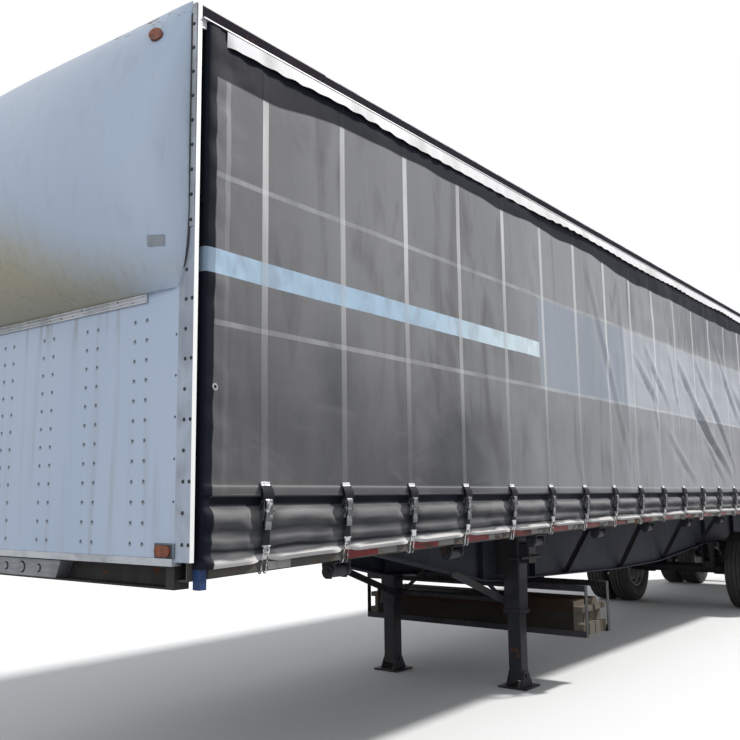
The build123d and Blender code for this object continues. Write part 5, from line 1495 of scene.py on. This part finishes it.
    def hooks(self) -> Piece:
        """Twin-prong wire hooks that turn under the rub rail's lower edge."""
        parts = []
        low = SIZES.rub_low
        for along in (-self.hook_half, self.hook_half):
            points = [
                (0.0095, low + 0.112),
                (0.0100, low + 0.095),
                (0.0080, low + 0.070),
                (-0.0040, low + 0.030),
                (-0.0052, low - 0.001),
                (-0.0100, low - 0.0125),
                (-0.0190, low - 0.0120),
                (-0.0235, low - 0.0040),
                (-0.0240, low + 0.010),
            ]
            parts.append(wire("hook_prong", [self.place(o, z, along) for o, z in points], 0.0036, 2))
        ends = [self.place(0.0095, low + 0.112, along) for along in (-0.027, 0.027)]
        parts.append(round_bar("hook_bar", *ends, 0.0042, 12))
        tongue = [(0.0128, low + 0.116), (0.0135, low + 0.100), (0.0115, low + 0.080)]
        parts.append(ribbon("hook_plate", self.path(tongue), (0.0215, 0, 0), 0.0026))
        return repeated(fused("hook", parts), f"strap_hooks_{self.side.word}", self.rail_moves())

    def build(self) -> None:
        """Makes the row in place of the plain buckles."""
        word = self.side.word
        black = PlainCloth(f"black_webbing_{word}", (0.009, 0.010, 0.015), (0.024, 0.024, 0.027), 500.0).material()
        pale = PlainCloth(f"pale_webbing_{word}", (0.22, 0.22, 0.22), (0.13, 0.13, 0.13), 500.0).material()
        steel = Zinc(f"buckle_zinc_{word}", (0.20, 0.20, 0.21), worn=1.25).material()
        bright = Zinc(f"hook_zinc_{word}", (0.36, 0.36, 0.37), worn=0.75).material()
        white = Zinc(f"strap_bar_zinc_{word}", (0.66, 0.66, 0.67), worn=0.1).material()
        made = (
            (self.webbing(), black),
            (self.pale_tails(), pale),
            (self.buckle(), steel),
            (self.hooks(), bright),
            (self.bars(), white),
        )
        for piece, finish in made:
            finish_piece(piece, finish)
            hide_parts(f"buckles_{word}")


# Front wall and nose


@dataclass
class FrontWall:
    """Rivets, bolts, trim ribs and lamp bases on the front wall."""

    post_pitch: float = 0.3736
    column_gap: float = 0.043
    rivet_low: float = 1.358
    rivet_pitch: float = 0.0929
    rivet_rows: int = 12
    rivet_radius: float = 0.0064
    rib_half: float = 0.975
    lamp_y: float = 1.136
    lamp_z: float = 1.331

    def rivet(self, radius: float, height: float, name: str) -> Piece:
        """One low-domed rivet that faces forwards at the origin."""
        profile = [(0.0, radius), (height * 0.45, radius * 0.92), (height * 0.85, radius * 0.55), (height, 0.0)]
        return turned(name, (0, 0, 0), Axis3.ALONG, profile, 10)

    def rivets(self, finish: Material) -> None:
        """The rivets of the wall's posts, in pairs."""
        places = []
        for n in range(6):
            column = self.post_pitch * (n - 2.5)
            for y in (column - self.column_gap, column + self.column_gap):
                places += [(SIZES.front, y, self.rivet_low + row * self.rivet_pitch) for row in range(self.rivet_rows)]
        for side in (-1, 1):
            places += [(SIZES.front, side * 1.185, self.rivet_low + row * 2 * self.rivet_pitch) for row in range(6)]
        made = repeated(self.rivet(self.rivet_radius, 0.0030, "rivet"), "wall_rivets", shifts(places))
        finish_piece(made, finish)

    def bolts(self, finish: Material) -> None:
        """The bolts of the corner posts and of the trim above them."""
        front = SIZES.front
        spots = []
        for side in (-1, 1):
            spots += [(front + 0.0001, side * 1.2450, 1.36 + 0.135 * n) for n in range(10)]
            spots += [(front + 0.006, side * 1.2745, 2.80 + 0.118 * n) for n in range(9)]
            spots += [(front + 0.0001, side * 1.2850, 1.36 + 0.27 * n) for n in range(5)]
        made = repeated(self.rivet(0.0090, 0.0052, "bolt"), "corner_bolts", shifts(spots))
        finish_piece(made, finish)

    def ribs(self, finish: Material) -> None:
        """The three ribs pressed in the trim strip under the nose, and its screws."""
        front = SIZES.front + 0.0115
        bars = []
        for z, radius in ((2.4975, 0.0042), (2.480, 0.0036), (2.4635, 0.0042)):
            bars.append(round_bar("trim_rib", (front, -self.rib_half, z), (front, self.rib_half, z), radius, 12))
        metal = Aluminium("rib_aluminium", (0.55, 0.57, 0.60), Axis3.ACROSS)
        finish_piece(fused("trim_ribs", bars), metal.material())
        rows = ((0.0, 2.4895), (0.018, 2.4710))
        spots = [(SIZES.front + 0.012, -0.96 + 0.096 * n + shift, z) for n in range(21) for shift, z in rows]
        spots = [s for s in spots if abs(s[1]) < self.rib_half]
        screws = repeated(self.rivet(0.0052, 0.003, "screw"), "trim_screws", shifts(spots))
        finish_piece(screws, finish)

    def lamp_bases(self) -> None:
        """Grey bases with dark rims round the two lamps of the wall."""
        front = SIZES.front
        bases, rims = [], []
        for side in (-1, 1):
            y, z = side * self.lamp_y, self.lamp_z
            low, high = (front + 0.0002, y - 0.066, z - 0.0300), (front + 0.0085, y + 0.066, z + 0.0340)
            bases.append(bevelled_box("lamp_base", low, high, 0.0035, 3))
            low, high = (front + 0.0080, y - 0.0535, z - 0.0275), (front + 0.0145, y + 0.0535, z + 0.0275)
            rims.append(bevelled_box("lamp_rim", low, high, 0.0030, 3))
        paint = PaintedSteel("lamp_base_paint", (0.17, 0.20, 0.23), (0.24, 0.27, 0.30), 0.1, 0.5).material()
        finish_piece(fused("lamp_bases", bases), paint)
        finish_piece(fused("lamp_rims", rims), PlainRubber("lamp_rim_rubber").material())

    def build(self) -> None:
        """Makes every small fitting of the front."""
        dark = PaintedSteel("rivet_paint", (0.105, 0.120, 0.150), (0.17, 0.185, 0.21), 0.35, 0.5, 0.5).material()
        self.rivets(dark)
        black = PaintedSteel("trim_bolt_paint", (0.028, 0.030, 0.036), (0.055, 0.056, 0.060), 0.4, 0.4, 0.5)
        self.bolts(black.material())
        self.ribs(Zinc("screw_steel", (0.17, 0.175, 0.19), worn=0.7).material())
        self.lamp_bases()


@dataclass
class NoseDress:
    """The flange round the nose's foot and the blank plate beside it."""

    half_width: float = 1.2585
    side_low: float = 2.768
    plate_y: float = 1.164
    plate_z: float = 2.700

    def flange(self) -> Piece:
        """The thin lip that is screwed down round the nose's lower edge."""
        path = [(self.half_width + 0.002, 3.80), (self.half_width + 0.002, self.side_low)]
        path += [(1.255, 2.70), (1.243, 2.63), (1.225, 2.575), (1.196, 2.530), (1.150, 2.510), (1.09, 2.506)]
        left = [(SIZES.front + 0.005, y, z) for y, z in path]
        right = [(SIZES.front + 0.005, -y, z) for y, z in reversed(path)]
        return wire("nose_flange", left + right, 0.0052, 2)

    def plate(self) -> Piece:
        """A blank metal plate, laid flat on the gelcoat near its left edge."""
        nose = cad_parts["nose_cone"]
        found, spot, normal, _ = nose.closest_point_on_mesh(Vector((SIZES.front + 0.112, self.plate_y, self.plate_z)))
        plate = bevelled_box("nose_plate", (-0.0016, -0.040, -0.025), (0.0016, 0.040, 0.025), 0.0006)
        turn = normal.to_track_quat("X", "Z").to_matrix().to_4x4()
        plate.matrix_world = Matrix.Translation(spot + 0.0012 * normal) @ turn
        log.info("nose plate on the surface: %s", found)
        return settle(plate)

    def build(self) -> None:
        """Makes the small pieces of the nose."""
        finish_piece(self.flange(), PlainRubber("nose_seal_rubber").material())
        metal = Aluminium("plate_aluminium", (0.14, 0.16, 0.19), Axis3.ACROSS, 0.5, 0.4)
        finish_piece(self.plate(), metal.material())


# Rails


@dataclass
class RailDress:
    """Reflective tape and a pale patch on the rub rail, which follow the deck's rise."""

    side: Side
    first: float = 1.07
    length: float = 0.4572
    gap: float = 0.1524
    height: float = 0.050

    def build(self) -> None:
        """Lays the tape and the patch."""
        tapes = []
        station = self.first
        out = self.side.value * (SIZES.half_width + 0.0006)
        middle = SIZES.rub_low + SIZES.rub_height / 2 - 0.008
        while station + self.length < SIZES.length - 0.2:
            path = []
            for n in range(5):
                s = station + self.length * n / 4
                path.append((SIZES.x(s), out, middle + SIZES.rise(s)))
            tapes.append(ribbon("tape", path, (0, 0, self.height / 2), 0.0006))
            station += self.length + self.gap
        tape = fused(f"rail_tape_{self.side.word}", tapes)
        path = [(SIZES.x(s), out, middle - 0.010 + SIZES.rise(s)) for s in (0.482, 0.560, 0.640)]
        patch = ribbon(f"rail_patch_{self.side.word}", path, (0, 0, 0.019), 0.0006)
        paint = PaintedSteel(f"rail_patch_{self.side.word}", (0.44, 0.43, 0.41), (0.52, 0.50, 0.47), 0.1, 0.45)
        finish_piece(patch, paint.material())
        finish_piece(tape, RailTape(f"rail_tape_{self.side.word}").material())


# Wheels


@dataclass
class TwinTyres:
    """Two road tyres of one wheel, with grooved treads and plain sidewalls."""

    axle: str
    side: Side
    outer_y: float = 1.1455
    spacing: float = 0.343
    steps: int = 72
    nut_face: float = 0.985
    nut_circle: float = 0.128
    cap_circle: float = 0.074

    def profile(self) -> list[tuple[float, float]]:
        """Outline of one tyre from bead to bead, across and out."""
        half = [
            (0.0878, 0.2935),
            (0.0885, 0.306),
            (0.0970, 0.318),
            (0.1075, 0.334),
            (0.1120, 0.340),
            (0.1240, 0.362),
            (0.1345, 0.392),
            (0.1385, 0.412),
            (0.1360, 0.436),
            (0.1300, 0.462),
            (0.1270, 0.466),
            (0.1215, 0.482),
            (0.1175, 0.497),
            (0.1110, 0.5045),
            (0.1045, 0.5078),
        ]
        tread = [(0.0870, 0.5098), (0.0820, 0.4985), (0.0740, 0.4985), (0.0690, 0.5106)]
        tread += [(0.0385, 0.5116), (0.0335, 0.4975), (0.0255, 0.4975), (0.0205, 0.5119)]
        upper = half + tread
        return [(-a, r) for a, r in upper] + [(a, r) for a, r in reversed(upper)]

    def build(self) -> None:
        """Spins both tyres and puts them on their wheel."""
        name = f"{self.axle}_{self.side.word}"
        low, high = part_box(f"tyres_{name}")
        centre_x, centre_z = (low[0] + high[0]) / 2, (low[2] + high[2]) / 2
        tyres = []
        for y in (self.outer_y, self.outer_y - self.spacing):
            centre = (centre_x, self.side.value * y, centre_z)
            tyres.append(turned("road_tyre", centre, Axis3.ACROSS, self.profile(), self.steps))
        pair = fused(f"road_tyres_{name}", tyres)
        finish_piece(pair, TyreRubber(f"tyre_rubber_{name}").material(), f"wheel_{name}", 40)
        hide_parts(f"tyres_{name}")
        self.fittings(name, centre_x, centre_z)

    def fittings(self, name: str, x: float, z: float) -> None:
        """Wheel nuts, hub-cap bolts and the valve of one wheel."""
        sign = self.side.value
        face = sign * self.nut_face
        nut_profile = [(0.0, 0.0205), (0.004, 0.0205), (0.0055, 0.0165), (0.026, 0.0165), (0.029, 0.0135), (0.029, 0.0)]
        nut = turned("wheel_nut", (0, 0, 0), Axis3.ACROSS, [(sign * a, r) for a, r in nut_profile], 6)
        turns = [math.tau * n / 10 for n in range(10)]
        places = [(x + self.nut_circle * math.cos(t), face, z + self.nut_circle * math.sin(t)) for t in turns]
        nuts = repeated(nut, "wheel_nuts", shifts(places))
        cap_profile = [(0.0, 0.008), (sign * 0.006, 0.008), (sign * 0.007, 0.0)]
        cap_bolt = turned("cap_bolt", (0, 0, 0), Axis3.ACROSS, cap_profile, 6)
        cap_face = sign * (self.outer_y + 0.040)
        tilted = [t + 0.3 for t in turns[::2]]
        places = [(x + self.cap_circle * math.cos(t), cap_face, z + self.cap_circle * math.sin(t)) for t in tilted]
        bolts = repeated(cap_bolt, "cap_bolts", shifts(places))
        valve = round_bar("valve", (x + 0.214, face + sign * 0.05, z), (x + 0.224, face + sign * 0.115, z), 0.0045, 10)
        fittings = fused(f"wheel_fittings_{name}", [nuts, bolts, valve])
        steel = PaintedSteel(f"nut_steel_{name}", (0.10, 0.085, 0.07), (0.16, 0.14, 0.12), 0.8, 0.5, 0.6).material()
        finish_piece(fittings, steel, f"wheel_{name}")


# Rear doors


@dataclass
class DoorDress:
    """Rubber seals and hinge bolts of one rear door."""

    side: Side
    seal: float = 0.010

    def build(self) -> None:
        """Makes the seal round the leaf and the bolts through its hinges."""
        low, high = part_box(f"door_{self.side.word}")
        body = f"{self.side.word}_door"
        x = high[0] - 0.012 + 0.0125
        corners = [(low[1], low[2]), (high[1], low[2]), (high[1], high[2]), (low[1], high[2])]
        strips = []
        for (y0, z0), (y1, z1) in zip(corners, corners[1:] + corners[:1]):
            inset = self.seal / 2 + 0.0005
            y0, y1 = [min(max(y, low[1] + inset), high[1] - inset) for y in (y0, y1)]
            z0, z1 = [min(max(z, low[2] + inset), high[2] - inset) for z in (z0, z1)]
            middle = (x, (y0 + y1) / 2, (z0 + z1) / 2)
            strips.append(wire("seal", [(x, y0, z0), middle, (x, y1, z1)], 0.0042, 2))
        seal = fused(f"door_seal_{self.side.word}", strips)
        finish_piece(seal, PlainRubber(f"seal_rubber_{self.side.word}").material(), body)
        hinge_pitch = (high[2] - low[2] - 0.3) / 4
        outer = self.side.value * (SIZES.half_width - 0.010)
        profile = [(0.0, 0.010), (-0.005, 0.010), (-0.0075, 0.007), (-0.008, 0.0)]
        head = turned("bolt_head", (0, 0, 0), Axis3.ALONG, profile, 8)
        rear = SIZES.x(SIZES.length) - 0.044
        spots = [
            (rear, outer - self.side.value * (0.09 + 0.075 * k), low[2] + 0.15 + hinge_pitch * n + dz)
            for n in range(5)
            for k in range(3)
            for dz in (-0.015, 0.015)
        ]
        bolts = repeated(head, f"hinge_bolts_{self.side.word}", shifts(spots))
        finish_piece(bolts, Zinc(f"hinge_bolt_zinc_{self.side.word}").material(), body)


# Finishes of the frame's own nodes


def node_finishes() -> dict[str, Material]:
    """The finish of each CAD node, by its name or the start of its name.

    Returns:
        Materials by node name.
    """
    blue = PaintedSteel("frame_paint", (0.026, 0.031, 0.046), (0.045, 0.050, 0.066), 0.28, 0.45, 0.6)
    beam = PaintedSteel("beam_paint", (0.023, 0.027, 0.043), (0.036, 0.040, 0.058), 0.18, 0.25, 0.62)
    dark = PaintedSteel("running_gear_paint", (0.024, 0.025, 0.031), (0.045, 0.046, 0.052), 0.30, 0.45, 0.55)
    rail = PaintedSteel("rail_paint", (0.090, 0.085, 0.076), (0.140, 0.132, 0.118), 0.50, 0.5, 0.62)
    maroon = PaintedSteel("top_rail_paint", (0.014, 0.010, 0.018), (0.022, 0.017, 0.028), 0.2, 0.12, 0.70, 0.03)
    pole = PaintedSteel("pole_paint", (0.022, 0.052, 0.15), (0.035, 0.075, 0.19), 0.1, 0.25, 0.4)
    stake = PaintedSteel("bolster_paint", (0.028, 0.026, 0.026), (0.046, 0.043, 0.041), 0.40, 0.4, 0.6)
    wheel = PaintedSteel("wheel_paint", (0.46, 0.46, 0.45), (0.56, 0.56, 0.55), 0.35, 0.65, 0.45)
    door = PaintedSteel("door_enamel", (0.56, 0.58, 0.60), (0.63, 0.64, 0.65), 0.12, 0.35, 0.4)
    roof = PaintedSteel("roof_enamel", (0.54, 0.55, 0.56), (0.62, 0.62, 0.62), 0.1, 0.4, 0.45)
    steel = Zinc("door_gear_zinc", worn=0.45).material()
    upright = Aluminium("corner_aluminium", (0.52, 0.53, 0.55)).material()
    # The corner posts' side leaf gets a painted highlight.
    corner = Aluminium("post_aluminium", (0.36, 0.41, 0.50), metallic=0.25, dull=0.5, highlight_from=1.2938).material()
    across = Aluminium("trim_aluminium", (0.36, 0.38, 0.42), Axis3.ACROSS).material()
    along = Aluminium("track_aluminium", (0.60, 0.60, 0.62), Axis3.ALONG).material()
    box = Aluminium("socket_box_aluminium", (0.16, 0.17, 0.19), Axis3.ACROSS, 0.55, 0.6).material()
    return {
        "main_beams": beam.material(),
        "cross_members": blue.material(),
        "outriggers": blue.material(),
        "beam_braces": dark.material(),
        "front_bolster": stake.material(),
        "coupler_plate": dark.material(),
        "kingpin": Zinc("kingpin_steel", (0.30, 0.29, 0.28), worn=0.7).material(),
        "deck_floor": DeckBoards().material(),
        "side_rail": rail.material(),
        "front_wall": WallPaint().material(),
        "corner_posts": corner,
        "nose_cone": NoseGelcoat().material(),
        "front_trim": across,
        "connector_box": box,
        "top_rails": maroon.material(),
        "curtain_tracks": along,
        "roof_bows": along,
        "roof_sheet": roof.material(),
        "side_posts": upright,
        "curtain_poles": pole.material(),
        "rear_frame": blue.material(),
        "door_gear": steel,
        "door_pins": steel,
        "door_": door.material(),
        "winches": dark.material(),
        "landing": dark.material(),
        "dunnage_rack": dark.material(),
        "dunnage": SawnTimber().material(),
        "axles": dark.material(),
        "suspension": dark.material(),
        "hub_": wheel.material(),
        "air_tanks": dark.material(),
        "flap_brackets": dark.material(),
        "mud_flaps": PlainRubber("flap_rubber").material(),
        "rear_guard": blue.material(),
        "dock_bumpers": PlainRubber("bumper_rubber").material(),
        "marker_lamps": LampLens("amber_lens", (0.36, 0.085, 0.025), (0.11, 0.026, 0.012)).material(),
        "tail_lamps": LampLens("red_lens", (0.30, 0.012, 0.012), (0.12, 0.004, 0.005)).material(),
    }


def dress_nodes() -> None:
    """Gives each shown CAD node its finish."""
    finishes = node_finishes()
    for name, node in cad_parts.items():
        match = max((key for key in finishes if name.startswith(key)), key=len, default=None)
        if match is None:
            continue
        node.data.materials.clear()
        node.data.materials.append(finishes[match])
    log.info("dressed %d nodes", len(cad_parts))


# Studio


@dataclass
class Studio:
    """Pale floor, white surroundings, soft lamps and the camera."""

    floor_size: float = 160.0
    sun_strength: float = 3.75
    sun_angle: float = 5.0
    fill_strength: float = 0.50
    front_strength: float = 0.62
    lens: float = 42.616
    shift: float = 0.034
    eye: Point = (2.5624, 4.1760, 1.5653)
    yaw: float = 218.39
    pitch: float = 8.144
    roll: float = -0.474

    def seen(self, tree: bpy.types.NodeTree) -> Socket:
        """One for rays from the camera, a reflection or a clear surface."""
        path = tree.nodes.new("ShaderNodeLightPath")
        total = path.outputs["Is Camera Ray"]
        for name in ("Is Glossy Ray", "Is Transmission Ray"):
            either = tree.nodes.new("ShaderNodeMath")
            either.operation = "MAXIMUM"
            tree.links.new(total, either.inputs[0])
            tree.links.new(path.outputs[name], either.inputs[1])
            total = either.outputs[0]
        return total

    def floor(self) -> None:
        """A wide pale floor that shows white to the camera and keeps the shadow."""
        deselect()
        bpy.ops.mesh.primitive_plane_add(size=self.floor_size, location=(0, 0, -0.0005))
        ground = settle(named("studio_floor"))
        shader = Shader("floor_paint", Base_Color=(0.80, 0.80, 0.80), Roughness=0.9)
        pale = shader.mix(shader.noise(0.4), (0.80, 0.80, 0.80), (0.83, 0.83, 0.83))
        shader.paint(shader.mix(self.seen(shader.tree), (0.26, 0.27, 0.29), pale))
        ground.data.materials.append(shader.material)

    def world(self) -> None:
        """White where the camera or a reflection looks, softer grey light on the object."""
        world = bpy.data.worlds.new("studio")
        bpy.context.scene.world = world
        world.use_nodes = True
        tree = world.node_tree
        back = tree.nodes["Background"]
        seen = self.seen(tree)
        tint = tree.nodes.new("ShaderNodeMix")
        tint.data_type = "RGBA"
        tree.links.new(seen, tint.inputs["Factor"])
        for socket, colour in (("A", (0.94, 0.97, 1.0, 1)), ("B", (1, 1, 1, 1))):
            next(s for s in tint.inputs if s.name == socket and s.type == "RGBA").default_value = colour
        tree.links.new(next(s for s in tint.outputs if s.type == "RGBA"), back.inputs["Color"])
        strength = tree.nodes.new("ShaderNodeMapRange")
        tree.links.new(seen, strength.inputs["Value"])
        strength.inputs["To Min"].default_value = self.fill_strength
        strength.inputs["To Max"].default_value = 1.0
        tree.links.new(strength.outputs[0], back.inputs["Strength"])

    def lamp(self, name: str, toward: Point, strength: float, angle: float, colour: Colour) -> None:
        """A wide soft lamp that shines from a direction."""
        deselect()
        bpy.ops.object.light_add(type="SUN")
        lamp = bpy.context.active_object
        lamp.name = name
        lamp.rotation_euler = Vector(toward).to_track_quat("Z", "Y").to_euler()
        lamp.data.energy = strength
        lamp.data.angle = math.radians(angle)
        lamp.data.color = colour

    def camera(self) -> None:
        """The camera at the photograph's place and angle."""
        deselect()
        bpy.ops.object.camera_add()
        camera = bpy.context.active_object
        camera.name = "view_camera"
        yaw, pitch, roll = (math.radians(v) for v in (self.yaw, self.pitch, self.roll))
        ahead = Vector((math.cos(yaw) * math.cos(pitch), math.sin(yaw) * math.cos(pitch), math.sin(pitch)))
        right = Vector((math.sin(yaw), -math.cos(yaw), 0))
        up = right.cross(ahead)
        level = right * math.cos(roll) + up * math.sin(roll)
        upright = up * math.cos(roll) - right * math.sin(roll)
        turn = Matrix((level, upright, -ahead)).transposed().to_4x4()
        eye = Vector((SIZES.front + self.eye[0], self.eye[1], self.eye[2]))
        camera.matrix_world = Matrix.Translation(eye) @ turn
        camera.data.lens = self.lens
        camera.data.sensor_width = 36.0
        camera.data.shift_x = self.shift
        camera.data.clip_end = 300.0
        bpy.context.scene.camera = camera

    def build(self) -> None:
        """Sets up the whole studio."""
        self.floor()
        self.world()
        self.lamp("key_lamp", (-0.78, 0.42, 0.82), self.sun_strength, self.sun_angle, (1.0, 0.985, 0.96))
        self.lamp("front_lamp", (0.95, 0.15, 0.45), self.front_strength, 40.0, (0.80, 0.90, 1.0))
        self.camera()
        bpy.context.scene.view_settings.view_transform = "Standard"


def main() -> None:
    """Builds every sub-assembly in order."""
    logging.basicConfig(level=logging.INFO, format="%(name)s: %(message)s")
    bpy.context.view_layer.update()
    dress_nodes()
    for side, seed in ((Side.LEFT, 1.7), (Side.RIGHT, 5.3)):
        Curtain(side, seed, folds=long_folds(int(seed * 10))).build()
        Valance(side, seed).build()
        StrapRow(side).build()
        RailDress(side).build()
        DoorDress(side).build()
        for axle in ("front", "rear"):
            TwinTyres(axle, side).build()
    FrontWall().build()
    NoseDress().build()
    Studio().build()


if __name__ == "__main__":
    main()
